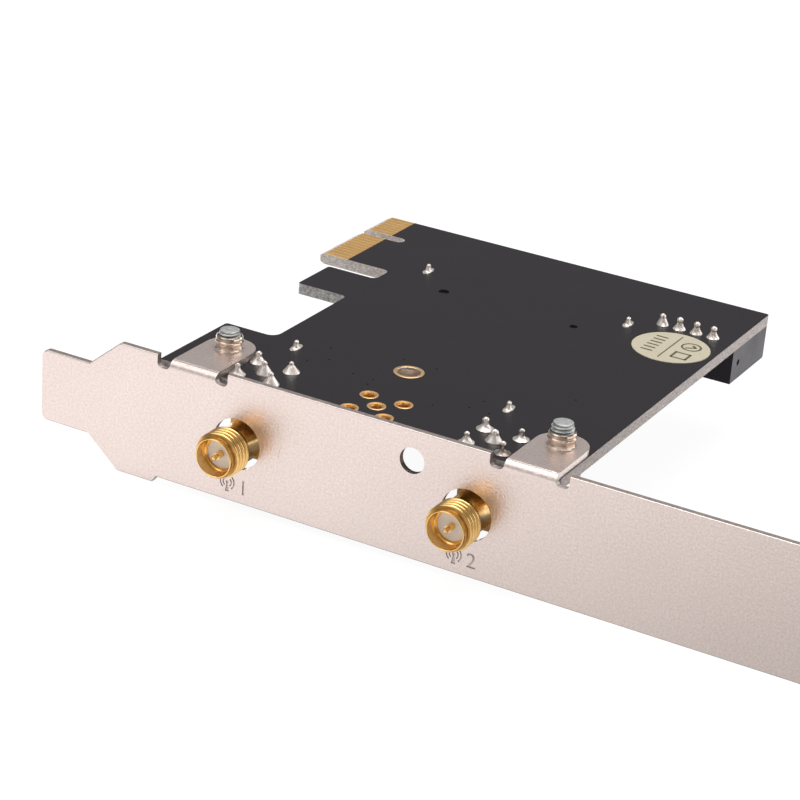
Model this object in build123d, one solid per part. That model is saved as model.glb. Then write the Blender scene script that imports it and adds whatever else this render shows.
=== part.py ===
from build123d import *
import os

# Desktop wireless network card, in mm.
# X runs along the bracket from the tip of its tongue, Y runs into the computer from the bracket's
# outer face, and Z points out of the board's solder side. Z = 0 is the bracket's centre line.

# how solids are cut and joined: a cut runs past the face that it opens, parts of one solid run into
# each other before they are fused, and a full round leaves a narrow flat between its two corners
past = 1.0
run_in = 0.1
round_flat = 0.02

# bracket: one folded and pierced steel sheet
sheet = 0.86
bracket_length = 120.02
bracket_width = 18.42
tongue_width = 10.19
tongue_length = 7.7
taper_length = 4.85
tongue_corner_radius = 1.1
shoulder_corner_radius = 0.8
shoulder_length = 5.6
edge_step = 0.9
step_run = 0.7
bend_inner_radius = 0.3
edge_round = 0.2
screw_tab_depth = 11.43
screw_tab_width = 21.59
screw_tab_ear_gap = 1.6
screw_tab_corner_radius = 1.6
screw_notch_width = 4.42
screw_notch_depth = 6.9
screw_notch_offset = 6.35
window_diameter = 3.5
window_x = 56.57
window_drop = 4.1

# lugs: folded over the board's solder side, each with a tapped collar
lug_width = 7.0
lug_x = 23.85
lug_spacing = 48.7
lug_screw_y = 8.7
relief_width = 1.9
relief_depth = 1.75
relief_corner_radius = 0.7
collar_foot_diameter = 4.7
collar_foot_height = 0.75
collar_foot_hollow = 0.28
collar_waist_diameter = 3.44
collar_band_diameter = 3.7
collar_band_start = 1.0
collar_band_end = 1.35
collar_groove_height = 1.5
collar_lip_diameter = 3.56
collar_lip_start = 1.62
collar_lip_bevel = 0.08
collar_height = 1.85

# circuit board
board_thickness = 1.6
board_setback = 1.27
board_gap = 0.64
board_rear_y = 69.3
board_top_x = 76.2
board_corner_radius = 0.4
foot_x = 17.85
foot_rear_y = 17.4
foot_fillet = 1.5
waist_x = 25.6
hook_x = 17.6
hook_front_y = 36.4
hook_fillet = 0.9
slot_width = 4.1
slot_end_x = 25.4
slot_corner_radius = 1.0

# contact tab
contact_tab_x = 13.6
contact_tab_width = 20.3
contacts_before_key = 11
contacts_after_key = 7
key_width = 1.9
key_depth = 7.4
key_offset = 12.15
contact_pitch = 1.0
contact_width = 0.7
contact_end_x = 18.34
contact_margin = 0.65
contact_thickness = 0.05
bevel_length = 0.9
bevel_depth = 0.4

# antenna jacks
jack_after_lug = 7.18
jack_before_lug = 7.96
jack_y = 6.04
jack_block = 6.1
jack_standoff = 0.4
jack_nose_reach = 5.5
jack_thread_diameter = 6.35
jack_lip_diameter = 5.3
jack_lip_length = 0.4
jack_lip_bevel = 0.42
jack_thread_root_y = -1.2
jack_neck_diameter = 5.4
jack_mouth_diameter = 4.7
jack_mouth_depth = 1.95
jack_bore_diameter = 4.1
jack_bore_wall = 1.2
jack_riser_diameter = 3.0
jack_hole_diameter = 7.08
jack_edge_bevel = 0.25
jack_cap_diameter = 4.6
jack_cap_depth = 0.25
jack_leg_pitch = 5.08
jack_leg_diameter = 1.0
jack_leg_shoulder = 1.7
jack_pin_diameter = 0.94
jack_pin_tip_diameter = 0.62
jack_pin_tip_length = 0.85
jack_pin_tip_round = 0.2
jack_tail_diameter = 0.9
insulator_clearance = 0.02

# solder joints and plated holes
leg_hole_diameter = 1.5
joint_diameter = 2.3
joint_height = 1.75
joint_waist = 1.2
joint_levels = [0, 0.25, 0.6, 1]
joint_tip_height = 0.3
joint_tip_share = 0.45
pin_in_joint = 0.9
spare_pad_diameter = 2.6
spare_hole_diameter = 1.4
plating = 0.06

# bracket screws
screw_diameter = 3.0
screw_tip_reaches = [0.7, 1.2]
screw_tip_bevel = 0.25
screw_head_diameter = 5.6
screw_head_height = 2.0
screw_head_bevel = 0.6
screw_recess_depth = 1.2
screw_recess_length = 3.0
screw_recess_width = 0.6
screw_hole_diameter = 3.5
thread_clearance = 0.02

# radio module in its socket
module_x = 45.7
module_width = 22.0
module_length = 30.0
module_thickness = 0.8
module_lift = 2.45
standoff_y = 18.3
standoff_shank_diameter = 3.05
standoff_body_diameter = 5.5
standoff_sink = 0.2
standoff_clearance = 0.03
standoff_pad_diameter = 4.3
module_notch_diameter = 3.5
module_screw_diameter = 2.0
module_screw_head_diameter = 5.0
module_screw_head_height = 0.8
module_screw_head_bevel = 0.25
module_screw_length = 1.9
module_screw_recess_length = 1.8
module_screw_recess_depth = 0.5
module_thread_depth = 2.2
shield_width = 19.0
shield_length = 17.5
shield_height = 1.4
shield_offset = 15.1
shield_bevel = 0.3
socket_width = 21.9
socket_depth = 6.4
socket_height = 4.2
socket_wrap = 4.2
socket_lead_in = 0.3
socket_slot_clearance = 0.1
socket_peg_y = 46.9
socket_peg_inset = 0.7
socket_peg_reach = 1.2
socket_large_peg = 1.5
socket_small_peg = 1.1
socket_peg_clearance = 0.05
socket_key_x = -3.6
socket_key_width = 1.2
module_key_depth = 3.5
socket_contact_pitch = 0.5
socket_contact_count = 34
socket_contact_width = 0.22
socket_contact_foot = 0.9
socket_contact_thickness = 0.15

# coaxial sockets on the module and on the board
coax_diameter = 2.0
coax_height = 1.2
coax_base = 2.6
coax_base_height = 0.35
coax_bore_diameter = 1.6
coax_pin_sink = 0.2
coax_pin_diameter = 0.5
module_coax_spacing = 9.0
module_coax_y = 22.3
board_coax_y = 12.2

# cover over the module, held by four soldered tabs
cover_width = 32.14
cover_x = 45.72
cover_front_y = 14.4
cover_rear_y = 54.2
cover_depth = 6.1
cover_sheet = 0.3
cover_bend_radius = 0.9
cover_corner_slit = 0.35
cover_land_margin = 6.0
cover_land_depth = 0.45
cover_land_round = 2.5
cover_lead_gap_width = 4.0
cover_lead_gap_height = 1.5
cover_lead_gap_spacing = 20.0
tab_front_y = 15.97
tab_rear_y = 52.65
tab_width = 0.7
tab_height = 0.5
tab_slot_clearance = 0.1
tab_joint_length = 2.6
tab_joint_width = 0.9
tab_joint_height = 1.05
tab_joint_tip = 0.3
tab_joint_skin = 0.1

# four-pin header for the computer's internal cable
header_pin_x = 65.56
header_pin_pitch = 2.54
header_pin_count = 4
header_pin_y = 55.71
header_pin_size = 0.64
header_width = 13.2
header_front_y = 57.15
header_rear_y = 69.65
header_height = 5.2
header_wall = 0.7
header_back_wall = 3.0
header_pin_recess = 3.0
header_slot_width = 2.0
header_slot_length = 4.6
header_slot_inset = 2.6
header_dimple_diameter = 0.9
header_dimple_depth = 0.25
header_dimple_inset = 2.3
header_mouth_bevel = 0.25
header_pin_bend_radius = 0.5
header_joint_diameter = 1.85
header_joint_waist = 1.0
header_hole_diameter = 1.1

# small parts on the component side
chip_length = 1.6
chip_width = 0.8
capacitor_height = 0.6
resistor_height = 0.45
chip_terminal = 0.3
chip_step = 0.05
coupling_x = 27.4
coupling_y = 57.2
coupling_pitch = 1.6
side_row_x = 66.0
side_row_y = 20.0
side_row_pitch = 2.4
side_row_gap = 4.5
rear_row_x = 32.5
rear_row_y = 57.4
rear_row_pitch = 3.0
bulk_length = 3.5
bulk_width = 2.8
bulk_height = 1.9
bulk_lift = 0.1
bulk_bevel = 0.25
bulk_terminal = 0.8
bulk_terminal_width = 2.2
bulk_x = 33.0
bulk_y = 63.0
bulk_pitch = 6.5
fuse_length = 3.2
fuse_width = 1.6
fuse_height = 0.8
fuse_bevel = 0.15
fuse_x = 60.2
sticker_diameter = 11.2
sticker_thickness = 0.1
sticker_x = 69.98
sticker_y = 48.5

# levels and places that follow from the sizes above
solder_z = bracket_width / 2 - board_setback
component_z = solder_z - board_thickness
bend_outer_radius = bend_inner_radius + sheet
board_front_y = sheet + board_gap
tab_front = board_rear_y - contact_tab_width
key_y = tab_front + key_offset
lug_centres = [lug_x, lug_x + lug_spacing]
jack_centres = [lug_centres[0] + jack_after_lug, lug_centres[1] - jack_before_lug]
spare_jack_x = sum(jack_centres) / 2
leg_places = [(i * jack_leg_pitch / 2, j * jack_leg_pitch / 2) for i in (-1, 1) for j in (-1, 1)]
header_pins_x = [header_pin_x + i * header_pin_pitch for i in range(header_pin_count)]
joint_places = leg_places + [(0, 0)]
header_centre_x = sum(header_pins_x) / header_pin_count
header_axis_z = component_z - header_height / 2
module_top_z = component_z - module_lift
module_low_z = module_top_z - module_thickness
module_end_y = standoff_y + module_length
socket_pegs = [(module_x - socket_width / 2 + socket_peg_inset, socket_large_peg),
               (module_x + socket_width / 2 - socket_peg_inset, socket_small_peg)]
tab_places = [(cover_x + side * (cover_width - cover_sheet) / 2, y)
              for side in (-1, 1) for y in (tab_front_y, tab_rear_y)]
contact_rows = [tab_front + contact_margin + i * contact_pitch for i in range(contacts_before_key)]
contact_rows += [board_rear_y - contact_margin - i * contact_pitch for i in range(contacts_after_key)]


def block(x, y, z):
    """Box given by its low and high limit along each axis."""
    size = [high - low for low, high in (x, y, z)]
    centre = [(high + low) / 2 for low, high in (x, y, z)]
    return Pos(*centre) * Box(*size)


def upright(x, y, low, high, diameter):
    """Cylinder along Z between two levels."""
    return Pos(x, y, (low + high) / 2) * Cylinder(diameter / 2, high - low)


def along_y(x, z, near, far, diameter):
    """Cylinder along Y between two places."""
    return Pos(x, (near + far) / 2, z) * Rot(90, 0, 0) * Cylinder(diameter / 2, far - near)


def outline(points, plane):
    """Face bounded by straight runs between points in a plane."""
    return plane * make_face(Polyline(*points, close=True).edges())


def soften(face, places, radius):
    """Round the corners of a flat face that lie nearest to the given places."""
    corners = [min(face.vertices(), key=lambda v: (Vector(*v) - Vector(*p)).length) for p in places]
    return fillet(corners, radius)


def bracket_plate():
    """The bracket's flat stretch, before its lugs and screw tab are folded."""
    half = bracket_width / 2
    tongue = tongue_width / 2
    shoulder = tongue_length + taper_length
    step = shoulder + shoulder_length
    low = -half + edge_step
    end = bracket_length - bend_outer_radius
    points = [(0, -tongue), (tongue_length, -tongue), (shoulder, -half), (step, -half),
              (step + step_run, low), (end, low), (end, half), (shoulder, half),
              (tongue_length, tongue), (0, tongue)]
    face = outline(points, Plane.XZ)
    face = soften(face, [(0, 0, -tongue), (0, 0, tongue)], tongue_corner_radius)
    face = soften(face, [(shoulder, 0, -half), (shoulder, 0, half)], shoulder_corner_radius)
    plate = extrude(face, amount=-sheet)
    rim = plate.faces().sort_by(Axis.Y)[0].edges().filter_by(lambda e: e.center().X < end - edge_round)
    return fillet(rim, edge_round)


def lug_relief(x):
    """What is pierced out of the plate so that a lug can be folded: its width and a notch each side."""
    height = (bracket_width / 2 - relief_depth, bracket_width / 2 + past)
    through = (-past, sheet + past)
    cut = block((x - lug_width / 2, x + lug_width / 2), through, height)
    for side in (-1, 1):
        middle = x + side * (lug_width + relief_width) / 2
        notch = block((middle - relief_width / 2, middle + relief_width / 2), through, height)
        cut += fillet(notch.edges().filter_by(Axis.Y).group_by(Axis.Z)[0], relief_corner_radius)
    return cut


def collar():
    """Drawn and tapped collar, with a swept foot, a band, a groove and a lip."""
    foot = collar_foot_diameter / 2
    waist = collar_waist_diameter / 2
    band = collar_band_diameter / 2
    lip = collar_lip_diameter / 2
    middle = (waist + (foot - waist) * collar_foot_hollow, collar_foot_height * collar_foot_hollow)
    profile = Polyline((0, -run_in), (foot, -run_in), (foot, 0))
    profile += ThreePointArc((foot, 0), middle, (waist, collar_foot_height))
    profile += Polyline((waist, collar_foot_height), (band, collar_band_start), (band, collar_band_end),
                        (waist, collar_groove_height), (lip, collar_lip_start),
                        (lip, collar_height - collar_lip_bevel), (lip - collar_lip_bevel, collar_height),
                        (0, collar_height), (0, -run_in))
    return revolve(Plane.XZ * make_face(profile.edges()), Axis.Z)


def lug(x):
    """Lug with its bend, rounded end and drawn collar."""
    top = solder_z + sheet
    bend = top - bend_outer_radius
    foot = bracket_width / 2 - relief_depth - sheet
    end = lug_screw_y + lug_width / 2
    profile = Polyline((0, foot), (0, bend))
    profile += RadiusArc((0, bend), (bend_outer_radius, top), bend_outer_radius)
    profile += Polyline((bend_outer_radius, top), (end, top), (end, solder_z), (bend_outer_radius, solder_z))
    profile += RadiusArc((bend_outer_radius, solder_z), (sheet, bend), -bend_inner_radius)
    profile += Polyline((sheet, bend), (sheet, foot), (0, foot))
    strip = extrude(Plane.YZ.offset(x - lug_width / 2) * make_face(profile.edges()), amount=lug_width)
    corners = strip.edges().filter_by(Axis.Z).group_by(Axis.Y)[-1]
    strip = fillet(corners, (lug_width - round_flat) / 2)
    folded = strip + Pos(x, lug_screw_y, top) * collar()
    return folded - upright(x, lug_screw_y, solder_z - past, top + collar_height + past,
                            screw_diameter + 2 * thread_clearance)


def screw_tab():
    """Tab folded outward at the bracket's far end, with the open notch for the case screw."""
    low = -bracket_width / 2
    high = low + screw_tab_width
    near = bracket_length - bend_outer_radius
    inner = bracket_length - sheet
    profile = Polyline((near, 0), (near, sheet))
    profile += RadiusArc((near, sheet), (bracket_length, -bend_inner_radius), bend_outer_radius)
    profile += Polyline((bracket_length, -bend_inner_radius), (bracket_length, -screw_tab_depth),
                        (inner, -screw_tab_depth), (inner, -bend_inner_radius))
    profile += RadiusArc((inner, -bend_inner_radius), (near, 0), -bend_inner_radius)
    tab = extrude(Plane.XY.offset(low) * make_face(profile.edges()), amount=screw_tab_width)
    folded = (near - past, bracket_length + past)
    relief = (-screw_tab_ear_gap, sheet + past)
    tab -= block(folded, relief, (bracket_width / 2, high + past))
    tab -= block(folded, relief, (low - past, low + edge_step))
    outer = tab.edges().filter_by(Axis.X).group_by(Axis.Y)[0]
    tab = fillet(outer, screw_tab_corner_radius)
    half = screw_notch_width / 2
    notch = block(folded, (-screw_notch_offset - half, -screw_notch_offset + half),
                  (high - screw_notch_depth, high + past))
    notch = fillet(notch.edges().filter_by(Axis.X).group_by(Axis.Z)[0], (screw_notch_width - round_flat) / 2)
    return tab - notch


def bracket():
    body = bracket_plate()
    for x in lug_centres:
        body -= lug_relief(x)
        body += lug(x)
    body += screw_tab()
    for x in jack_centres:
        body -= along_y(x, 0, -past, sheet + past, jack_hole_diameter)
    window_z = bracket_width / 2 - window_drop
    return body - along_y(window_x, window_z, -past, sheet + past, window_diameter)


def board_outline():
    key_front = key_y - key_width / 2
    key_rear = key_y + key_width / 2
    key_end = contact_tab_x + key_depth
    slot_front = tab_front - slot_width
    points = [(foot_x, board_front_y), (board_top_x, board_front_y), (board_top_x, board_rear_y),
              (contact_tab_x, board_rear_y), (contact_tab_x, key_rear), (key_end, key_rear),
              (key_end, key_front), (contact_tab_x, key_front), (contact_tab_x, tab_front),
              (slot_end_x, tab_front), (slot_end_x, slot_front), (hook_x, slot_front),
              (hook_x, hook_front_y), (waist_x, hook_front_y), (waist_x, foot_rear_y), (foot_x, foot_rear_y)]
    face = outline(points, Plane.XY)
    face = soften(face, [(key_end, key_rear, 0), (key_end, key_front, 0)], (key_width - round_flat) / 2)
    face = soften(face, [(slot_end_x, tab_front, 0), (slot_end_x, slot_front, 0)], slot_corner_radius)
    face = soften(face, [(waist_x, hook_front_y, 0)], hook_fillet)
    face = soften(face, [(waist_x, foot_rear_y, 0)], foot_fillet)
    outer = [(foot_x, foot_rear_y, 0), (hook_x, hook_front_y, 0), (hook_x, slot_front, 0),
             (board_top_x, board_rear_y, 0), (contact_tab_x, board_rear_y, 0), (contact_tab_x, tab_front, 0)]
    return soften(face, outer, board_corner_radius)


def contact_bevel(level, side):
    """Wedge taken off the contact edge on one face of the board."""
    inner = contact_tab_x + bevel_length
    points = [(contact_tab_x, level), (inner, level), (contact_tab_x, level - side * bevel_depth)]
    face = outline(points, Plane.XZ.offset(-board_rear_y - past))
    return extrude(face, amount=contact_tab_width + 2 * past)


def circuit_board():
    board = extrude(Plane.XY.offset(component_z) * board_outline(), amount=board_thickness)
    board -= contact_bevel(solder_z, 1) + contact_bevel(component_z, -1)
    low, high = component_z - past, solder_z + past
    holes = []
    for x in jack_centres:
        holes += [upright(x + i, jack_y + j, low, high, leg_hole_diameter) for i, j in joint_places]
    holes += [upright(spare_jack_x + i, jack_y + j, low, high, spare_hole_diameter + 2 * plating)
              for i, j in joint_places]
    holes += [upright(x, header_pin_y, low, high, header_hole_diameter) for x in header_pins_x]
    holes += [upright(x, lug_screw_y, low, high, screw_hole_diameter) for x in lug_centres]
    holes += [upright(module_x, standoff_y, low, high, standoff_shank_diameter + 2 * standoff_clearance)]
    holes += [upright(x, socket_peg_y, low, high, size + 2 * socket_peg_clearance) for x, size in socket_pegs]
    slot_x = cover_sheet / 2 + tab_slot_clearance
    slot_y = tab_width / 2 + tab_slot_clearance
    holes += [block((x - slot_x, x + slot_x), (y - slot_y, y + slot_y), (low, high)) for x, y in tab_places]
    return board - holes


def edge_contacts(low):
    """Row of gold contacts on one face of the contact tab."""
    start = contact_tab_x + bevel_length
    return Compound([block((start, contact_end_x), (y - contact_width / 2, y + contact_width / 2),
                           (low, low + contact_thickness)) for y in contact_rows])


def jack_body(x):
    """Turned and milled jack: threaded nose, neck, square block and four legs."""
    tip = -jack_nose_reach
    block_front = jack_y - jack_block / 2
    thread = jack_thread_diameter / 2
    lip = jack_lip_diameter / 2
    thread_start = tip + jack_lip_length + jack_lip_bevel
    points = [(0, tip), (lip, tip), (lip, tip + jack_lip_length), (thread, thread_start),
              (thread, jack_thread_root_y), (jack_neck_diameter / 2, jack_thread_root_y),
              (jack_neck_diameter / 2, block_front + past), (0, block_front + past)]
    nose = revolve(make_face(Polyline(*points, close=True).edges()), Axis.Y)
    top = component_z - jack_standoff
    half = jack_block / 2
    cube = block((-half, half), (block_front, block_front + jack_block), (-half, top))
    cube = chamfer(cube.edges().filter_by(Axis.Z) + cube.edges().group_by(Axis.Z)[0], jack_edge_bevel)
    solid = cube + nose
    for i, j in leg_places:
        solid += upright(i, jack_y + j, top - run_in, component_z, jack_leg_shoulder)
        solid += upright(i, jack_y + j, top - run_in, solder_z + pin_in_joint, jack_leg_diameter)
    far = block_front + jack_block
    solid -= along_y(0, 0, tip - past, tip + jack_mouth_depth, jack_mouth_diameter)
    solid -= along_y(0, 0, tip, far - jack_bore_wall, jack_bore_diameter)
    solid -= along_y(0, 0, far - jack_cap_depth, far + past, jack_cap_diameter)
    solid -= upright(0, jack_y, 0, top + past, jack_riser_diameter)
    return Pos(x, 0, 0) * solid


def jack_insulator(x):
    """White insulator that fills the jack's bore and its riser."""
    far = jack_y + jack_block / 2 - jack_bore_wall
    near = -jack_nose_reach + jack_mouth_depth
    solid = along_y(0, 0, near, far - insulator_clearance, jack_bore_diameter - 2 * insulator_clearance)
    solid += upright(0, jack_y, 0, component_z - jack_standoff, jack_riser_diameter - 2 * insulator_clearance)
    solid -= along_y(0, 0, near - past, jack_y + jack_pin_diameter / 2, jack_pin_diameter)
    solid -= upright(0, jack_y, 0, component_z, jack_tail_diameter)
    return Pos(x, 0, 0) * solid


def jack_pin(x):
    """Centre contact: a stepped pin along the jack and a tail up through the board."""
    tip = -jack_nose_reach
    step = tip + jack_pin_tip_length
    point = along_y(0, 0, tip, step, jack_pin_tip_diameter)
    point = fillet(point.edges().group_by(Axis.Y)[0], jack_pin_tip_round)
    solid = point + along_y(0, 0, step, jack_y + jack_pin_diameter / 2, jack_pin_diameter)
    solid += upright(0, jack_y, 0, solder_z + pin_in_joint, jack_tail_diameter)
    return Pos(x, 0, 0) * solid


def solder_joint(x, y, base, waist, height, hole, pin):
    """Concave cone of solder round a pin end, with the solder that fills the plated hole."""
    rim = base / 2
    neck = waist / 2
    flank = height - joint_tip_height
    points = [(0, -board_thickness), (hole / 2, -board_thickness), (hole / 2, 0)]
    points += [(neck + (rim - neck) * (1 - level) ** 2, level * flank) for level in joint_levels]
    points += [(neck * joint_tip_share, height), (0, height)]
    cone = revolve(outline(points, Plane.XZ), Axis.Z)
    return Pos(x, y, solder_z) * (cone - pin)


def jack_joints():
    joints = []
    low = -board_thickness - past
    leg = upright(0, 0, low, pin_in_joint, jack_leg_diameter)
    tail = upright(0, 0, low, pin_in_joint, jack_tail_diameter)
    for x in jack_centres:
        for i, j in joint_places:
            joints.append(solder_joint(x + i, jack_y + j, joint_diameter, joint_waist, joint_height,
                                       leg_hole_diameter, leg if (i, j) in leg_places else tail))
    return Compound(joints)


def header_joints():
    half = header_pin_size / 2
    pin = block((-half, half), (-half, half), (-board_thickness - past, pin_in_joint))
    return Compound([solder_joint(x, header_pin_y, header_joint_diameter, header_joint_waist, joint_height,
                                  header_hole_diameter, pin) for x in header_pins_x])


def plated_eyelet(x, y):
    """Copper lining of a plated hole, with a ring on each face of the board."""
    low = component_z - plating
    high = solder_z + plating
    lining = upright(x, y, low, high, spare_hole_diameter + 2 * plating)
    lining += upright(x, y, solder_z, high, spare_pad_diameter)
    lining += upright(x, y, low, component_z, spare_pad_diameter)
    return lining - upright(x, y, low - past, high + past, spare_hole_diameter)


def spare_pads():
    return Compound([plated_eyelet(spare_jack_x + i, jack_y + j) for i, j in joint_places])


def bracket_screw(x, reach):
    """Bevel-headed screw from the component side, through the board into the lug's collar."""
    tip = solder_z + sheet + collar_height + reach
    shank = upright(x, lug_screw_y, component_z - run_in, tip, screw_diameter)
    shank = chamfer(shank.edges().group_by(Axis.Z)[-1], screw_tip_bevel)
    low = component_z - screw_head_height
    head = upright(x, lug_screw_y, low, component_z, screw_head_diameter)
    head = chamfer(head.edges().group_by(Axis.Z)[0], screw_head_bevel)
    return shank + head - cross_recess(x, lug_screw_y, low, screw_recess_length, screw_recess_depth)


def cross_recess(x, y, low, length, depth):
    half = screw_recess_width / 2
    arm = block((-length / 2, length / 2), (-half, half), (-past, depth))
    return Pos(x, y, low) * (arm + Rot(0, 0, 90) * arm)


def module_standoff():
    """Riveted nut that carries the module's free end, blind from the solder side."""
    body = upright(module_x, standoff_y, module_top_z, component_z, standoff_body_diameter)
    shank = upright(module_x, standoff_y, module_top_z, solder_z - standoff_sink, standoff_shank_diameter)
    thread = upright(module_x, standoff_y, module_top_z - past, module_top_z + module_thread_depth,
                     module_screw_diameter + 2 * thread_clearance)
    return body + shank - thread


def module_screw():
    low = module_low_z - module_screw_head_height
    head = upright(module_x, standoff_y, low, module_low_z, module_screw_head_diameter)
    head = chamfer(head.edges().group_by(Axis.Z)[0], module_screw_head_bevel)
    shank = upright(module_x, standoff_y, low, module_top_z + module_screw_length, module_screw_diameter)
    return head + shank - cross_recess(module_x, standoff_y, low, module_screw_recess_length,
                                       module_screw_recess_depth)


def module_board():
    half = module_width / 2
    card = block((module_x - half, module_x + half), (standoff_y, module_end_y), (module_low_z, module_top_z))
    through = (module_low_z - past, module_top_z + past)
    card -= upright(module_x, standoff_y, *through, module_notch_diameter)
    key = module_x + socket_key_x
    return card - block((key - socket_key_width / 2, key + socket_key_width / 2),
                        (module_end_y - module_key_depth, module_end_y + past), through)


def module_shield():
    """Pressed can over the module's chips."""
    near = standoff_y + shield_offset - shield_length / 2
    can = block((module_x - shield_width / 2, module_x + shield_width / 2), (near, near + shield_length),
                (module_low_z - shield_height, module_low_z))
    return chamfer(can.edges().filter_by(Axis.Z) + can.edges().group_by(Axis.Z)[0], shield_bevel)


def coax_socket(x, y, level):
    """Miniature coaxial socket hanging below a board face: square base, round shell, centre pin."""
    half = coax_base / 2
    low = level - coax_height
    base = block((x - half, x + half), (y - half, y + half), (level - coax_base_height, level))
    shell = upright(x, y, low, level, coax_diameter)
    shell -= upright(x, y, low - past, level - coax_base_height, coax_bore_diameter)
    return base + shell + upright(x, y, low + coax_pin_sink, level, coax_pin_diameter)


def coax_sockets(places, level):
    return Compound([coax_socket(x, y, level) for x, y in places])


def module_socket():
    """Moulded edge socket with a front slot, a key and two locating pegs."""
    half = socket_width / 2
    near = module_end_y - socket_wrap
    far = near + socket_depth
    low = component_z - socket_height
    body = block((module_x - half, module_x + half), (near, far), (low, component_z))
    body = chamfer(body.edges().filter_by(Axis.X).group_by(Axis.Y)[0], socket_lead_in)
    gap = socket_slot_clearance
    reach = module_width / 2 + gap
    slot = block((module_x - reach, module_x + reach), (near - past, module_end_y + gap),
                 (module_low_z - gap, module_top_z + gap))
    key = module_x + socket_key_x
    rib = socket_key_width / 2 - gap
    key_start = module_end_y - module_key_depth + gap
    body -= slot - block((key - rib, key + rib), (key_start, far), (low, component_z))
    for x, size in socket_pegs:
        body += upright(x, socket_peg_y, component_z - run_in, component_z + socket_peg_reach, size)
    return body


def module_socket_contacts():
    """Two rows of soldered feet, in front of and behind the socket."""
    near = module_end_y - socket_wrap
    far = near + socket_depth
    feet = []
    for i in range(socket_contact_count):
        x = module_x + (i - (socket_contact_count - 1) / 2) * socket_contact_pitch
        half = socket_contact_width / 2
        level = (component_z - socket_contact_thickness, component_z)
        feet.append(block((x - half, x + half), (far, far + socket_contact_foot), level))
        feet.append(block((x - half, x + half), (near - socket_contact_foot, near), level))
    return Compound(feet)


def cover_block(inset, low, high):
    """Block set in from the cover's outer walls."""
    half = cover_width / 2 - inset
    return block((cover_x - half, cover_x + half), (cover_front_y + inset, cover_rear_y - inset), (low, high))


def module_cover():
    """Folded sheet cover: lid with a pressed land, four walls with open corners, and tabs for solder."""
    low = component_z - cover_depth
    shell = cover_block(0, low, component_z)
    shell = fillet(shell.edges().group_by(Axis.Z)[0], cover_bend_radius)
    inner = cover_block(cover_sheet, low + cover_sheet, component_z + past)
    shell -= fillet(inner.edges().group_by(Axis.Z)[0], cover_bend_radius - cover_sheet)
    for side in (-1, 1):
        for y in (cover_front_y, cover_rear_y):
            shell -= upright(cover_x + side * cover_width / 2, y, low + cover_bend_radius, component_z + past,
                             2 * (cover_corner_slit + cover_sheet))
    land = cover_block(cover_land_margin, low - past, low + cover_land_depth)
    land = fillet(land.edges().filter_by(Axis.Z), cover_land_round)
    pressed = cover_block(cover_land_margin - cover_sheet, low + cover_sheet,
                          low + cover_sheet + cover_land_depth)
    shell += fillet(pressed.edges().filter_by(Axis.Z), cover_land_round + cover_sheet)
    shell -= land
    for side in (-1, 1):
        x = cover_x + side * cover_lead_gap_spacing / 2
        shell -= block((x - cover_lead_gap_width / 2, x + cover_lead_gap_width / 2),
                       (cover_front_y - past, cover_front_y + past),
                       (component_z - cover_lead_gap_height, component_z + past))
    for x, y in tab_places:
        shell += cover_tab(x, y)
    return shell


def cover_tab(x, y):
    """Tab that carries on from the cover's wall through the board."""
    return block((x - cover_sheet / 2, x + cover_sheet / 2), (y - tab_width / 2, y + tab_width / 2),
                 (component_z - cover_sheet, solder_z + tab_height))


def cover_joints():
    """Peaked mound of solder on the oblong pad round each tab."""
    neck = tab_height + tab_joint_skin
    sizes = [(0, tab_joint_width, tab_joint_length),
             (neck / 2, cover_sheet + 4 * tab_joint_skin, tab_width + 6 * tab_joint_skin),
             (neck, cover_sheet + 2 * tab_joint_skin, tab_width + 2 * tab_joint_skin),
             (tab_joint_height, tab_joint_tip, tab_joint_tip)]
    mound = loft([Plane.XY.offset(z) * Rectangle(x, y) for z, x, y in sizes], ruled=True)
    return Compound([Pos(x, y, solder_z) * mound - cover_tab(x, y) for x, y in tab_places])


def header_housing():
    """Side-entry shrouded header, open to the rear, with key slots in its lower wall."""
    half = header_width / 2
    low = component_z - header_height
    x_range = (header_centre_x - half, header_centre_x + half)
    body = block(x_range, (header_front_y, header_rear_y), (low, component_z))
    body = chamfer(body.edges().filter_by(Axis.X).group_by(Axis.Y)[-1], header_mouth_bevel)
    mouth = block((x_range[0] + header_wall, x_range[1] - header_wall),
                  (header_front_y + header_back_wall, header_rear_y + past),
                  (low + header_wall, component_z - header_wall))
    body -= mouth
    for side in (-1, 1):
        x = header_centre_x + side * header_slot_inset
        body -= block((x - header_slot_width / 2, x + header_slot_width / 2),
                      (header_rear_y - header_slot_length, header_rear_y + past),
                      (low - past, low + header_wall + past))
    half_pin = header_pin_size / 2
    for x in header_pins_x:
        body -= block((x - half_pin, x + half_pin), (header_front_y - past, header_rear_y),
                      (header_axis_z - half_pin, header_axis_z + half_pin))
    dimple = Rot(0, 90, 0) * Cylinder(header_dimple_diameter / 2, 2 * header_dimple_depth)
    return body - Pos(x_range[1], header_front_y + header_dimple_inset, header_axis_z) * dimple


def header_pins():
    """Bent square pins, from the shroud's cavity up through the board."""
    half = header_pin_size / 2
    pins = []
    for x in header_pins_x:
        arm = block((x - half, x + half), (header_pin_y - half, header_rear_y - header_pin_recess),
                    (header_axis_z - half, header_axis_z + half))
        tail = block((x - half, x + half), (header_pin_y - half, header_pin_y + half),
                     (header_axis_z - half, solder_z + pin_in_joint))
        pin = arm + tail
        bend = [e for e in pin.edges().filter_by(Axis.X)
                if e.center().Y < header_pin_y and e.center().Z < header_axis_z]
        pins.append(fillet(bend, header_pin_bend_radius))
    return Compound(pins)


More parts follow.
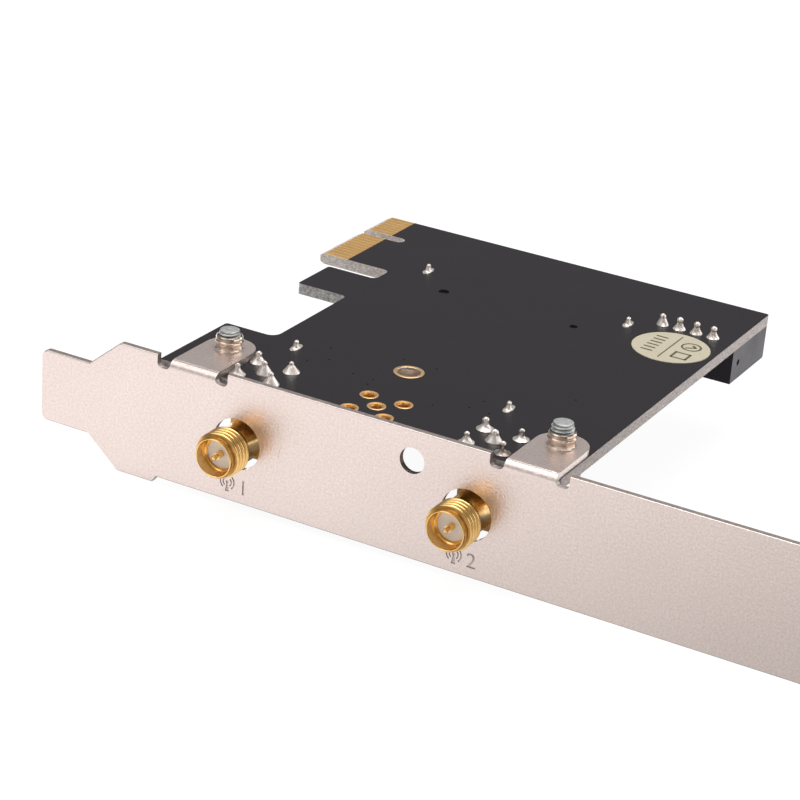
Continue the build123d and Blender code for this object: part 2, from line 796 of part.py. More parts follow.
def chip(x, y, turned, height):
    """Chip part with its end caps slightly proud of its body."""
    body = block((chip_terminal - chip_length / 2, chip_length / 2 - chip_terminal),
                 (chip_step - chip_width / 2, chip_width / 2 - chip_step), (chip_step - height, 0))
    for side in (-1, 1):
        middle = side * (chip_length - chip_terminal) / 2
        body += block((middle - chip_terminal / 2, middle + chip_terminal / 2),
                      (-chip_width / 2, chip_width / 2), (-height, 0))
    return Pos(x, y, component_z) * Rot(0, 0, 90 if turned else 0) * body


def chip_capacitors():
    """Coupling pair behind the contact tab, and filter rows beside and behind the cover."""
    chips = [chip(coupling_x, coupling_y + i * coupling_pitch, False, capacitor_height) for i in range(2)]
    chips += [chip(side_row_x + i * side_row_pitch, side_row_y, True, capacitor_height) for i in range(4)]
    chips += [chip(rear_row_x + i * rear_row_pitch, rear_row_y, True, capacitor_height) for i in range(4)]
    return Compound(chips)


def chip_resistors():
    """Rest of the rear row, and a second side row."""
    chips = [chip(side_row_x + i * side_row_pitch, side_row_y + side_row_gap, True, resistor_height)
             for i in range(3)]
    chips += [chip(rear_row_x + i * rear_row_pitch, rear_row_y, True, resistor_height) for i in range(4, 8)]
    return Compound(chips)


def bulk_capacitors():
    """Two moulded tantalum capacitors that steady the module's supply."""
    cases = []
    case_y = (bulk_y - bulk_width / 2, bulk_y + bulk_width / 2)
    for x in (bulk_x, bulk_x + bulk_pitch):
        case = block((x - bulk_length / 2, x + bulk_length / 2), case_y,
                     (component_z - bulk_height, component_z - bulk_lift))
        case = chamfer(case.edges().group_by(Axis.Z)[0], bulk_bevel)
        for side in (-1, 1):
            middle = x + side * (bulk_length - bulk_terminal) / 2
            case += block((middle - bulk_terminal / 2, middle + bulk_terminal / 2),
                          (bulk_y - bulk_terminal_width / 2, bulk_y + bulk_terminal_width / 2),
                          (component_z - bulk_lift - run_in, component_z))
        cases.append(case)
    return Compound(cases)


def resettable_fuse():
    body = block((fuse_x - fuse_length / 2, fuse_x + fuse_length / 2),
                 (bulk_y - fuse_width / 2, bulk_y + fuse_width / 2), (component_z - fuse_height, component_z))
    return chamfer(body.edges().filter_by(Axis.Y).group_by(Axis.Z)[0], fuse_bevel)


def standoff_pad():
    ring = upright(module_x, standoff_y, solder_z, solder_z + plating, standoff_pad_diameter)
    return ring - upright(module_x, standoff_y, solder_z - past, solder_z + past,
                          standoff_shank_diameter + 2 * standoff_clearance)


def sticker():
    return upright(sticker_x, sticker_y, solder_z, solder_z + sticker_thickness, sticker_diameter)


module_coax_places = [(module_x + side * module_coax_spacing / 2, module_coax_y) for side in (-1, 1)]
board_coax_places = [(x, board_coax_y) for x in jack_centres]
nodes = {
    "bracket": bracket(),
    "circuit_board": circuit_board(),
    "edge_contacts_solder_side": edge_contacts(solder_z),
    "edge_contacts_component_side": edge_contacts(component_z - contact_thickness),
    "antenna_jack_left_body": jack_body(jack_centres[0]),
    "antenna_jack_right_body": jack_body(jack_centres[1]),
    "antenna_jack_left_insulator": jack_insulator(jack_centres[0]),
    "antenna_jack_right_insulator": jack_insulator(jack_centres[1]),
    "antenna_jack_left_pin": jack_pin(jack_centres[0]),
    "antenna_jack_right_pin": jack_pin(jack_centres[1]),
    "jack_solder_joints": jack_joints(),
    "spare_antenna_pads": spare_pads(),
    "bracket_screws": Compound([bracket_screw(*place) for place in zip(lug_centres, screw_tip_reaches)]),
    "standoff_pad": standoff_pad(),
    "module_standoff": module_standoff(),
    "module_screw": module_screw(),
    "module_board": module_board(),
    "module_shield": module_shield(),
    "module_antenna_sockets": coax_sockets(module_coax_places, module_low_z),
    "board_antenna_sockets": coax_sockets(board_coax_places, component_z),
    "module_socket_housing": module_socket(),
    "module_socket_contacts": module_socket_contacts(),
    "module_cover": module_cover(),
    "cover_solder_joints": cover_joints(),
    "header_housing": header_housing(),
    "header_pins": header_pins(),
    "header_solder_joints": header_joints(),
    "chip_capacitors": chip_capacitors(),
    "chip_resistors": chip_resistors(),
    "bulk_capacitors": bulk_capacitors(),
    "resettable_fuse": resettable_fuse(),
    "inspection_sticker": sticker(),
}

os.makedirs("parts", exist_ok=True)
for name, shape in nodes.items():
    export_step(shape, f"parts/{name}.step")
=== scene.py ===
import math

import bpy
from mathutils import Matrix, Vector


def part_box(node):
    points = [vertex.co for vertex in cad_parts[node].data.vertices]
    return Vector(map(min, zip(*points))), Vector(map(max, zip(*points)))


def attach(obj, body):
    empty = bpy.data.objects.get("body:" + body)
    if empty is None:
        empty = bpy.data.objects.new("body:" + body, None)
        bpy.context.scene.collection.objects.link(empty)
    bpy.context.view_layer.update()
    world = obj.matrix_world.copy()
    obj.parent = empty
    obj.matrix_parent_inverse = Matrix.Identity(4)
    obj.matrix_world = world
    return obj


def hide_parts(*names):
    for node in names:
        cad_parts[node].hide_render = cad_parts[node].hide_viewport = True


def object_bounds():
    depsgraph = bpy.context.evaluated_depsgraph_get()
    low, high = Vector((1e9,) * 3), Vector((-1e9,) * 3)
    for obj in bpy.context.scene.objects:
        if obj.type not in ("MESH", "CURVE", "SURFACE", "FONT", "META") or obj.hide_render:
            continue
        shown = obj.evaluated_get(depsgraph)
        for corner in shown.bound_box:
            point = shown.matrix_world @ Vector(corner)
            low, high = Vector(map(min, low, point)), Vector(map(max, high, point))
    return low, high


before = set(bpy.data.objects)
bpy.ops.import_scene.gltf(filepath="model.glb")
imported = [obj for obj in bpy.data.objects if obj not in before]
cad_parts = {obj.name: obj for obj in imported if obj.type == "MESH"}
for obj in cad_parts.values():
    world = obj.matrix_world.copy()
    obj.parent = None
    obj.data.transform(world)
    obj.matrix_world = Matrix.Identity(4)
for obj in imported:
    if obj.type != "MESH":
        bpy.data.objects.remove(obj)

cadLow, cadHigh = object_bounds()
mm = 0.001
body = "root"
fullTurn = 2 * math.pi
mergeGap = 0.002 * mm        # vertices closer than this are one
flatAngle = math.radians(0.5)        # faces that lean apart by less are one flat face
softAngle = 32        # degrees below which a bend is shaded smooth
endShare = 0.35        # share of a turn over which a thread runs out
print("stage: frame loaded,", len(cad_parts), "nodes")


# tools for picking and shaping

def selectOnly(piece):
    if bpy.context.mode != "OBJECT":
        bpy.ops.object.mode_set(mode="OBJECT")
    bpy.ops.object.select_all(action="DESELECT")
    piece.select_set(True)
    bpy.context.view_layer.objects.active = piece


def startEdit(piece, kind="FACE"):
    selectOnly(piece)
    bpy.ops.object.mode_set(mode="EDIT")
    bpy.ops.mesh.select_mode(type=kind)
    bpy.ops.mesh.select_all(action="DESELECT")


def pickAll():
    bpy.ops.mesh.select_all(action="SELECT")


def endEdit():
    bpy.ops.object.mode_set(mode="OBJECT")


def pickFaces(piece, test):
    # leaves the piece in edit mode with the faces that pass the test selected
    startEdit(piece)
    endEdit()
    for face in piece.data.polygons:
        face.select = test(face.center / mm, face.normal)
    bpy.ops.object.mode_set(mode="EDIT")


def applyModifier(piece, kind, **settings):
    selectOnly(piece)
    modifier = piece.modifiers.new(kind.lower(), kind)
    for key, value in settings.items():
        setattr(modifier, key, value)
    bpy.ops.object.modifier_apply(modifier=modifier.name)


def settle(piece):
    # place, turn and size go into the mesh
    selectOnly(piece)
    bpy.ops.object.transform_apply(location=True, rotation=True, scale=True)
    return piece


def smooth(piece, angle=softAngle, weighted=False):
    # weighted keeps large flat faces flat beside their small bends
    selectOnly(piece)
    bpy.ops.object.shade_smooth_by_angle(angle=math.radians(angle), keep_sharp_edges=False)
    if weighted:
        applyModifier(piece, "WEIGHTED_NORMAL", keep_sharp=True)
    return piece


def joinAll(pieces, name):
    bpy.ops.object.select_all(action="DESELECT")
    for piece in pieces:
        piece.select_set(True)
    bpy.context.view_layer.objects.active = pieces[0]
    if len(pieces) > 1:
        bpy.ops.object.join()
    pieces[0].name = pieces[0].data.name = name
    return pieces[0]


def placed(item):
    bpy.context.scene.collection.objects.link(item)
    return item


def copyOf(piece, name):
    twin = piece.copy()
    twin.data = piece.data.copy()
    twin.name = name
    return placed(twin)


def wear(piece, *finishes):
    piece.data.materials.clear()
    for finish in finishes:
        piece.data.materials.append(finish)


def paintFaces(piece, index, test):
    for face in piece.data.polygons:
        if test(face.center / mm, face.normal):
            face.material_index = index


def within(p, x, y, reach):
    return math.hypot(p.x - x, p.y - y) < reach


def handIn(piece, slot, *nodes):
    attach(piece, body)
    if nodes:
        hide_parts(*nodes)


def dress(piece, finish, slot, *nodes):
    # a piece of one finish
    wear(piece, finish)
    handIn(piece, slot, *nodes)


def nodeCopy(node, name, bevel=0, angle=softAngle):
    # a merged, smooth-shaded copy of a CAD node, with its edges eased when a bevel is given
    twin = copyOf(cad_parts[node], name)
    twin.parent = None
    for key in list(twin.keys()):
        del twin[key]
    twin.data.materials.clear()
    startEdit(twin, "VERT")
    pickAll()
    bpy.ops.mesh.remove_doubles(threshold=mergeGap)
    bpy.ops.mesh.customdata_custom_splitnormals_clear()
    bpy.ops.mesh.dissolve_limited(angle_limit=flatAngle)
    endEdit()
    if bevel:
        applyModifier(twin, "BEVEL", width=bevel * mm, segments=2, limit_method="ANGLE",
                      angle_limit=math.radians(angle), use_clamp_overlap=True)
    return smooth(twin, angle, bool(bevel))


def splitAt(piece, place, normal, **settings):
    startEdit(piece, "VERT")
    pickAll()
    bpy.ops.mesh.bisect(plane_co=Vector(place) * mm, plane_no=normal, **settings)
    endEdit()


def trimTop(piece, level):
    # takes off what stands above a level and closes the cut
    splitAt(piece, (0, 0, level), (0, 0, 1), clear_outer=True, use_fill=True)


def newPlane(size, place):
    bpy.ops.object.select_all(action="DESELECT")
    bpy.ops.mesh.primitive_plane_add(size=size, location=place)
    return bpy.context.object


def drawLine(name, origin, points):
    # a line of points drawn by extruding one vertex, left in edit mode round its own origin
    line = newPlane(mm, Vector(origin) * mm)
    line.name = name
    startEdit(line, "VERT")
    pickAll()
    bpy.ops.mesh.merge(type="CENTER")
    bpy.ops.transform.translate(value=Vector(points[0]) * mm)
    for before, after in zip(points, points[1:]):
        step = (Vector(after) - Vector(before)) * mm
        bpy.ops.mesh.extrude_vertices_move(TRANSFORM_OT_translate={"value": step})
    return line


def closeMesh():
    pickAll()
    bpy.ops.mesh.remove_doubles(threshold=mergeGap)
    bpy.ops.mesh.normals_make_consistent(inside=False)
    endEdit()


def turned(name, origin, axis, points, steps=64):
    # a profile spun once about an axis through the origin
    piece = drawLine(name, origin, points)
    pickAll()
    bpy.ops.mesh.spin(steps=steps, angle=fullTurn, center=Vector(origin) * mm, axis=axis)
    closeMesh()
    return settle(piece)


def turnedUp(name, x, y, level, profile, steps=64):
    # a profile of radii and heights spun about a vertical axis
    return turned(name, (x, y, level), (0, 0, 1), [(r, 0, z) for r, z in profile], steps)


def plate(name, origin, points, rise):
    # a flat outline drawn, filled and raised
    piece = drawLine(name, origin, points)
    pickAll()
    bpy.ops.mesh.edge_face_add()
    bpy.ops.mesh.extrude_region_move(TRANSFORM_OT_translate={"value": Vector(rise) * mm})
    closeMesh()
    return settle(piece)


def threadTooth(name, origin, axis, tooth, turns, pitch, steps=48):
    # a closed tooth section wound along an axis, with its two ends run out
    piece = drawLine(name, origin, tooth)
    bpy.ops.mesh.select_all(action="DESELECT")
    endEdit()
    ends = piece.data.vertices
    ends[0].select = ends[len(tooth) - 1].select = True
    bpy.ops.object.mode_set(mode="EDIT")
    bpy.ops.mesh.edge_face_add()
    endEdit()
    rounds = math.ceil(turns)
    applyModifier(piece, "SCREW", axis=axis, angle=fullTurn * turns / rounds,
                  screw_offset=pitch * mm * turns / rounds, iterations=rounds, steps=steps, render_steps=steps,
                  use_smooth_shade=True)
    settle(piece)
    section = len(tooth)
    last = len(piece.data.vertices) / section - 1
    centre = Vector(origin) * mm
    along = Vector([axis == letter for letter in "XYZ"])
    root = min((Vector(p) - Vector(p).project(along)).length for p in tooth) * mm
    for vertex in piece.data.vertices:
        place = vertex.index // section
        share = min(place, last - place) / (steps * endShare)
        if share < 1:
            offset = vertex.co - centre
            level = offset.project(along)
            arm = offset - level
            vertex.co = centre + level + arm.normalized() * (root + (arm.length - root) * share)
    startEdit(piece, "VERT")
    pickAll()
    bpy.ops.mesh.fill_holes(sides=section + 1)
    closeMesh()
    return piece


# tools for finishes

def feed(tree, socket, value):
    # a socket takes a value, a colour without its alpha, or another node's output
    if isinstance(value, bpy.types.NodeSocket):
        tree.links.new(value, socket)
    else:
        socket.default_value = (*value, 1) if socket.type == "RGBA" else value


def setNode(tree, node, **values):
    for key, value in values.items():
        if key in node.inputs:
            feed(tree, node.inputs[key], value)
        else:
            setattr(node, key, value)
    return node


def addNode(tree, kind, **values):
    return setNode(tree, tree.nodes.new("ShaderNode" + kind), **values)


def grey(value):
    return (value,) * 3


def ramp(tree, source, stops):
    node = addNode(tree, "ValToRGB", Fac=source)
    elements = node.color_ramp.elements
    while len(elements) < len(stops):
        elements.new(0.5)
    for element, (place, color) in zip(elements, stops):
        element.position = place
        element.color = (*color, 1)
    return node.outputs["Color"]


def greyRamp(tree, source, stops):
    return ramp(tree, source, [(place, grey(value)) for place, value in stops])


def mixColor(tree, share, first, second, blend="MIX"):
    node = addNode(tree, "Mix", data_type="RGBA", blend_type=blend)
    for index, value in ((0, share), (6, first), (7, second)):
        feed(tree, node.inputs[index], value)
    return node.outputs[2]


def mapped(tree, source, span, values, kind="SMOOTHSTEP"):
    ends = dict(zip(("From Min", "From Max", "To Min", "To Max"), (*span, *values)))
    return addNode(tree, "MapRange", interpolation_type=kind, Value=source, **ends).outputs["Result"]


def calculated(tree, operation, first, second):
    node = addNode(tree, "Math", operation=operation)
    for socket, value in zip(node.inputs, (first, second)):
        feed(tree, socket, value)
    return node.outputs["Value"]


def between(tree, source, low, high, edge):
    # one between two levels and none outside, with soft edges
    return calculated(tree, "MULTIPLY", mapped(tree, source, (low - edge, low + edge), (0, 1)),
                      mapped(tree, source, (high - edge, high + edge), (1, 0)))


def splitPlaces(tree, kind):
    # the three coordinates of a kind, each on its own
    places = addNode(tree, "TexCoord").outputs[kind]
    return addNode(tree, "SeparateXYZ", Vector=places).outputs


def noise(tree, scale, detail, roughness, stretch=(1, 1, 1)):
    # on object coordinates, with the scale in features for each millimetre
    sized = addNode(tree, "Mapping", Scale=tuple(scale * part / mm for part in stretch),
                    Vector=addNode(tree, "TexCoord").outputs["Object"])
    return addNode(tree, "TexNoise", Scale=1, Detail=detail, Roughness=roughness,
                   Vector=sized.outputs["Vector"]).outputs["Fac"]


# patch, grain and speckSize are features for each millimetre, depth is in mm
plainLook = {"metal": 0, "ior": 1.5, "specular": 0.5, "stretch": (1, 1, 1), "patch": 0.4, "grain": 6,
             "shade": 0.1, "bump": 0.3, "depth": 0.01, "speck": None}
colorSpan = (0.34, 0.66)        # noise levels between which the two colours blend
noiseSpan = (0.3, 0.7)        # nearly all noise lies between these levels
speckEdge = 0.02


def makeFinish(name, **changes):
    # base colour mottled towards a second one, rough patches, fine grain and sparse specks
    look = {**plainLook, **changes}
    material = bpy.data.materials.new(name)
    material.use_nodes = True
    tree = material.node_tree
    patches = noise(tree, look["patch"], 4, 0.6, look["stretch"])
    fine = noise(tree, look["grain"], 3, 0.6, look["stretch"])
    low, high = colorSpan
    color = ramp(tree, patches, [(low, look["second"]), (high, look["color"])])
    low, high = noiseSpan
    color = mixColor(tree, 1, color, greyRamp(tree, fine, [(low, 1 - look["shade"]), (high, 1)]), "MULTIPLY")
    if look["speck"]:
        start = look["speckFrom"]
        share = greyRamp(tree, noise(tree, look["speckSize"], 2, 0.5), [(start, 0), (start + speckEdge, 1)])
        color = mixColor(tree, share, color, look["speck"])
    polished, worn = look["rough"]
    bump = addNode(tree, "Bump", Strength=look["bump"], Distance=look["depth"] * mm, Height=fine)
    setNode(tree, tree.nodes["Principled BSDF"], **{
        "Base Color": color, "Metallic": look["metal"], "IOR": look["ior"],
        "Specular IOR Level": look["specular"], "Normal": bump.outputs["Normal"],
        "Roughness": greyRamp(tree, patches, [(low, worn), (high, polished)])})
    return material


bracketNickel = makeFinish("bracketNickel", color=(0.89, 0.755, 0.705), second=(0.875, 0.74, 0.69), metal=0.87,
    rough=(0.27, 0.32), patch=0.12, grain=3.2, shade=0.2, bump=1, depth=0.045)
# a rougher, darker finish for the sheet's cut edges, also laid on edges as painted shade
nickelEdgeAndShade = makeFinish("nickelEdgeAndShade", color=(0.52, 0.455, 0.43), second=(0.34, 0.285, 0.26), metal=0.8,
    rough=(0.36, 0.46), patch=1.3, grain=7, shade=0.3, bump=0.6, depth=0.04)
collarNickel = makeFinish("collarNickel", color=(0.78, 0.66, 0.56), second=(0.44, 0.33, 0.25), metal=1,
    rough=(0.12, 0.22), patch=1.1, grain=5, shade=0.12, depth=0.02)
engravedShade = makeFinish("engravedShade", color=(0.34, 0.29, 0.27), second=(0.22, 0.18, 0.165), metal=0.5,
    rough=(0.5, 0.65), patch=2, grain=8)
engravedFloor = makeFinish("engravedFloor", color=(0.64, 0.54, 0.5), second=(0.56, 0.465, 0.43), metal=0.8,
    rough=(0.35, 0.45), patch=2, grain=8, shade=0.2)
boardMask = makeFinish("boardMask", color=(0.0165, 0.0135, 0.0165), second=(0.0148, 0.012, 0.0148),
    rough=(0.36, 0.42), specular=0.27, patch=0.08, grain=9, shade=0.2, bump=0.12, speck=(0.15, 0.145, 0.145),
    speckSize=2.3, speckFrom=0.8)
viaPaintedShade = makeFinish("viaPaintedShade", color=(0.003, 0.003, 0.003), second=(0.002, 0.002, 0.002), rough=(0.6, 0.7),
    specular=0.1)
pegWall = makeFinish("pegWall", color=(0.042, 0.036, 0.032), second=(0.014, 0.011, 0.01), rough=(0.6, 0.7),
    specular=0.2, patch=1.4)
laminateEdge = makeFinish("laminateEdge", color=(0.62, 0.555, 0.53), second=(0.3, 0.26, 0.245), rough=(0.6, 0.8),
    patch=3, shade=0.45, bump=0.7, depth=0.05, stretch=(1, 1, 2.2))
# two lighter copies of the laminate edge colour, painted light on edges that face the front and the left end
laminateEdgePaintedLight = makeFinish("laminateEdgePaintedLight", color=(0.9, 0.81, 0.76), second=(0.5, 0.44, 0.41), rough=(0.6, 0.8),
    patch=2.6, grain=5, shade=0.35, bump=0.8, depth=0.06, stretch=(1, 1, 1.6))
laminateFrontPaintedLight = makeFinish("laminateFrontPaintedLight", color=(0.7, 0.68, 0.665), second=(0.26, 0.248, 0.24), rough=(0.6, 0.8),
    patch=2.4, grain=5, shade=0.35, bump=0.8, depth=0.06, stretch=(1, 1, 1.4))
laminateBare = makeFinish("laminateBare", color=(0.72, 0.455, 0.18), second=(0.68, 0.425, 0.165), rough=(0.4, 0.5),
    patch=0.5, depth=0.02)
contactGold = makeFinish("contactGold", color=(0.82, 0.53, 0.215), second=(0.78, 0.5, 0.195), metal=0.9,
    rough=(0.36, 0.46), patch=0.5, grain=8, bump=0.25, stretch=(0.4, 1, 1))
jackGold = makeFinish("jackGold", color=(0.95, 0.64, 0.26), second=(0.86, 0.51, 0.165), metal=1, rough=(0.15, 0.26),
    patch=0.9, grain=7, depth=0.012, speck=(0.3, 0.16, 0.05), speckSize=1.6, speckFrom=0.78)
# darker gold laid as painted shade in thread roots and deep in holes
goldPaintedShade = makeFinish("goldPaintedShade", color=(0.6, 0.33, 0.09), second=(0.42, 0.21, 0.05), metal=1,
    rough=(0.25, 0.4), patch=0.9, grain=7, shade=0.15, depth=0.012)
padGold = makeFinish("padGold", color=(0.92, 0.62, 0.34), second=(0.86, 0.56, 0.29), metal=0.85, rough=(0.28, 0.38),
    patch=1.2, grain=4, shade=0.06, bump=0.2, depth=0.008)
holeCopper = makeFinish("holeCopper", color=(0.95, 0.5, 0.15), second=(0.58, 0.26, 0.06), metal=0.8,
    rough=(0.36, 0.5), patch=1.5, grain=5, shade=0.2, depth=0.02)
insulatorWhite = makeFinish("insulatorWhite", color=(0.95, 0.885, 0.81), second=(0.9, 0.825, 0.735),
    rough=(0.45, 0.55), patch=0.8, shade=0.05, bump=0.15)
solderBright = makeFinish("solderBright", color=(0.93, 0.86, 0.81), second=(0.7, 0.62, 0.565), metal=0.9,
    rough=(0.32, 0.42), patch=1.1, grain=4, bump=0.35, depth=0.025, speck=(0.22, 0.15, 0.11), speckSize=1.7,
    speckFrom=0.73)
# a darker solder colour, for the lower part of one joint
solderDarkened = makeFinish("solderDarkened", color=(0.5, 0.44, 0.4), second=(0.2, 0.155, 0.13), metal=0.9,
    rough=(0.25, 0.4), patch=1.4, grain=5, shade=0.2, bump=0.4, depth=0.03)
screwZinc = makeFinish("screwZinc", color=(0.7, 0.71, 0.695), second=(0.45, 0.46, 0.445), metal=0.55,
    rough=(0.34, 0.48), patch=1.6, grain=8, shade=0.35, bump=0.6, depth=0.035)
# darker zinc laid as painted shade in the screw thread's grooves
zincPaintedShade = makeFinish("zincPaintedShade", color=(0.24, 0.225, 0.21), second=(0.1, 0.09, 0.08), metal=0.8,
    rough=(0.35, 0.5), patch=1.6, grain=8, shade=0.2)
nutFace = makeFinish("nutFace", color=(0.42, 0.295, 0.21), second=(0.2, 0.14, 0.105), metal=0.85, rough=(0.3, 0.45),
    patch=1.2, shade=0.2, bump=0.4, depth=0.02)
moduleGreen = makeFinish("moduleGreen", color=(0.015, 0.075, 0.032), second=(0.012, 0.06, 0.026),
    rough=(0.28, 0.36), patch=0.3, grain=7, shade=0.15, bump=0.2)
tinPlate = makeFinish("tinPlate", color=(0.74, 0.73, 0.72), second=(0.64, 0.63, 0.62), metal=1, rough=(0.28, 0.42),
    patch=0.15, grain=5, bump=0.25, stretch=(0.25, 1, 1))
connectorBlack = makeFinish("connectorBlack", color=(0.021, 0.0155, 0.027), second=(0.018, 0.013, 0.0225),
    rough=(0.4, 0.48), patch=0.3, specular=0.42, grain=8, shade=0.2, depth=0.012)
pinTin = makeFinish("pinTin", color=(0.76, 0.75, 0.72), second=(0.62, 0.6, 0.57), metal=1, rough=(0.2, 0.34),
    patch=1.4, grain=8, bump=0.25)
chipTan = makeFinish("chipTan", color=(0.42, 0.29, 0.18), second=(0.35, 0.24, 0.15), rough=(0.35, 0.5), patch=2,
    grain=10, shade=0.15)
chipBlack = makeFinish("chipBlack", color=(0.02, 0.02, 0.022), second=(0.03, 0.03, 0.032), rough=(0.2, 0.35),
    patch=2, grain=10, shade=0.15, bump=0.25)
tantalumYellow = makeFinish("tantalumYellow", color=(0.72, 0.42, 0.07), second=(0.64, 0.36, 0.06), rough=(0.4, 0.5),
    patch=0.9, grain=9, shade=0.12, depth=0.02)
tantalumBand = makeFinish("tantalumBand", color=(0.16, 0.06, 0.02), second=(0.13, 0.05, 0.02), rough=(0.4, 0.5),
    patch=0.9, grain=9, shade=0.12, depth=0.02)
fuseGreen = makeFinish("fuseGreen", color=(0.02, 0.12, 0.05), second=(0.03, 0.16, 0.07), rough=(0.3, 0.45),
    patch=1.2, grain=8, shade=0.15, depth=0.02)
stickerPaper = makeFinish("stickerPaper", color=(0.54, 0.488, 0.362), second=(0.5, 0.452, 0.332), rough=(0.5, 0.62),
    patch=0.5, shade=0.06)
stickerInk = makeFinish("stickerInk", color=(0.085, 0.072, 0.038), second=(0.12, 0.105, 0.06), rough=(0.5, 0.6),
    patch=3, grain=8)
print("stage: finishes made")


# camera: where the photograph was taken from, in mm and degrees
camera = {"place": (185.2264, -251.6631, 137.2202), "azimuth": 27.497, "elevation": 23.695, "roll": 4.495,
          "lens": 113.39, "sensor": 36, "clip": (0.01, 20)}


def addCamera():
    turn, lift, roll = (math.radians(camera[key]) for key in ("azimuth", "elevation", "roll"))
    back = Vector((math.sin(turn) * math.cos(lift), -math.cos(turn) * math.cos(lift), math.sin(lift)))
    right = Vector((math.cos(turn), math.sin(turn), 0))
    up = back.cross(right)
    across = math.cos(roll) * right + math.sin(roll) * up
    upright = -math.sin(roll) * right + math.cos(roll) * up
    matrix = Matrix((across, upright, back)).transposed().to_4x4()
    matrix.translation = Vector(camera["place"]) * mm
    lens = bpy.data.cameras.new("photoCamera")
    lens.lens = camera["lens"]
    lens.sensor_width = camera["sensor"]
    lens.clip_start, lens.clip_end = camera["clip"]
    viewer = placed(bpy.data.objects.new("photoCamera", lens))
    viewer.matrix_world = matrix
    bpy.context.scene.camera = viewer


# studio: a white room, brighter on the left, with soft panels and a pale floor
studio = {"floorSize": 6, "floorMiddle": (0.06, 0.03), "paperGrey": 0.12, "paperRough": 0.9, "paperGlow": 0.93,
          "sky": [(0, 0.6), (0.15, 0.28), (0.42, 0.2), (0.7, 0.5), (0.95, 1)],
          "sides": [(0, 1.1), (0.5, 0.95), (0.75, 0.6), (1, 0.5)],
          "panels": [("topPanel", (0.05, 0.2, 0.75), (0.03, 0.03, 0), 0.6, 3.6),
                     ("frontPanel", (-0.38, -0.4, 0.74), (0.05, 0, 0), 0.6, 1.3),
                     ("rearPanel", (0.55, 0.75, 0.3), (0.06, 0.03, 0), 0.5, 1.8),
                     ("sidePanel", (0.8, 0.12, 0.12), (0.07, 0.03, 0), 0.8, 3)],
          "floorAcross": (-15, 140), "floorGlow": (1.2, 0.57), "floorLean": 0.6,
          "floorBack": (15, 55, 0.8), "frontSpan": (-0.95, -0.55), "frontTop": (0.35, 0.65), "frontGlow": 0.45,
          "shade": (14, 80, 2, 74, 5), "shadeGlow": 0.22}


def addStudio():
    world = bpy.data.worlds.new("studioWorld")
    bpy.context.scene.world = world
    world.use_nodes = True
    tree = world.node_tree
    x, y, z = splitPlaces(tree, "Generated")
    sky = greyRamp(tree, z, studio["sky"])
    sides = greyRamp(tree, mapped(tree, x, (-1, 1), (0, 1), "LINEAR"), studio["sides"])
    lit = mixColor(tree, 1, sky, sides, "MULTIPLY")
    # a soft glow low in front, which the bends of the lugs reflect
    ahead = calculated(tree, "MULTIPLY", mapped(tree, y, studio["frontSpan"], (1, 0)),
                       mapped(tree, z, studio["frontTop"], (1, 0)))
    lit = mixColor(tree, 1, lit, calculated(tree, "MULTIPLY", ahead, studio["frontGlow"]), "ADD")
    seen = addNode(tree, "LightPath").outputs["Is Camera Ray"]
    setNode(tree, tree.nodes["Background"], Color=mixColor(tree, seen, lit, grey(1)))
    for name, place, target, size, power in studio["panels"]:
        light = bpy.data.lights.new(name, "AREA")
        light.shape = "SQUARE"
        light.size = size
        light.energy = power
        panel = placed(bpy.data.objects.new(name, light))
        panel.location = place
        panel.rotation_euler = (Vector(place) - Vector(target)).to_track_quat("Z", "Y").to_euler()
    bpy.context.scene.view_settings.view_transform = "Standard"


def addFloor():
    # white to the camera; what the metal reflects fades to the right and under the card
    floor = settle(newPlane(studio["floorSize"], (*studio["floorMiddle"], cadLow.z)))
    floor.name = "studio_floor"
    paper = bpy.data.materials.new("floorPaper")
    paper.use_nodes = True
    tree = paper.node_tree
    seen = setNode(tree, tree.nodes["Principled BSDF"], **{
        "Base Color": grey(studio["paperGrey"]), "Roughness": studio["paperRough"], "Specular IOR Level": 0,
        "Emission Color": grey(1), "Emission Strength": studio["paperGlow"]})
    x, y, z = splitPlaces(tree, "Object")
    lean = calculated(tree, "ADD", x, calculated(tree, "MULTIPLY", y, studio["floorLean"]))
    glow = mapped(tree, lean, [value * mm for value in studio["floorAcross"]], studio["floorGlow"])
    start, stop, extra = studio["floorBack"]
    glow = calculated(tree, "ADD", glow, mapped(tree, y, (start * mm, stop * mm), (0, extra)))
    low, high, near, far, edge = (value * mm for value in studio["shade"])
    covered = calculated(tree, "MULTIPLY", between(tree, x, low, high, edge), between(tree, y, near, far, edge))
    share = mapped(tree, covered, (0, 1), (1, studio["shadeGlow"]), "LINEAR")
    bounce = addNode(tree, "Emission", Strength=calculated(tree, "MULTIPLY", glow, share))
    mixed = addNode(tree, "MixShader")
    path = addNode(tree, "LightPath").outputs["Is Camera Ray"]
    for socket, value in zip(mixed.inputs, (path, bounce.outputs[0], seen.outputs[0])):
        feed(tree, socket, value)
    setNode(tree, tree.nodes["Material Output"], Surface=mixed.outputs[0])
    wear(floor, paper)


addCamera()
addStudio()
addFloor()
print("stage: camera, light and floor set")


# bracket: the folded sheet, with turned collars and shallow marks
bracket = {"top": 8.8, "low": 7.94, "thick": 0.86, "rimDepth": 0.9, "lugs": (23.85, 72.55), "lugY": 8.7,
           "lugStart": 1.3, "lugHalf": 4, "betweenLugs": 50, "jacks": (31.03, 64.59), "holeRadius": 3.54,
           "frontRound": 0.2, "collarOuter": 2.36, "boreReach": 1.6, "collarReach": 1.95, "steps": 64,
           "collar": [(1.54, -0.05), (1.96, -0.05), (1.96, 0), (1.86, 0.03), (1.78, 0.1), (1.73, 0.24),
                      (1.71, 0.5), (1.73, 0.74), (1.79, 0.86), (1.86, 0.93), (1.89, 1.02), (1.86, 1.12),
                      (1.76, 1.2), (1.71, 1.28), (1.72, 1.37), (1.79, 1.45), (1.81, 1.55), (1.76, 1.68),
                      (1.69, 1.78), (1.61, 1.84), (1.54, 1.85), (1.54, -0.05)]}
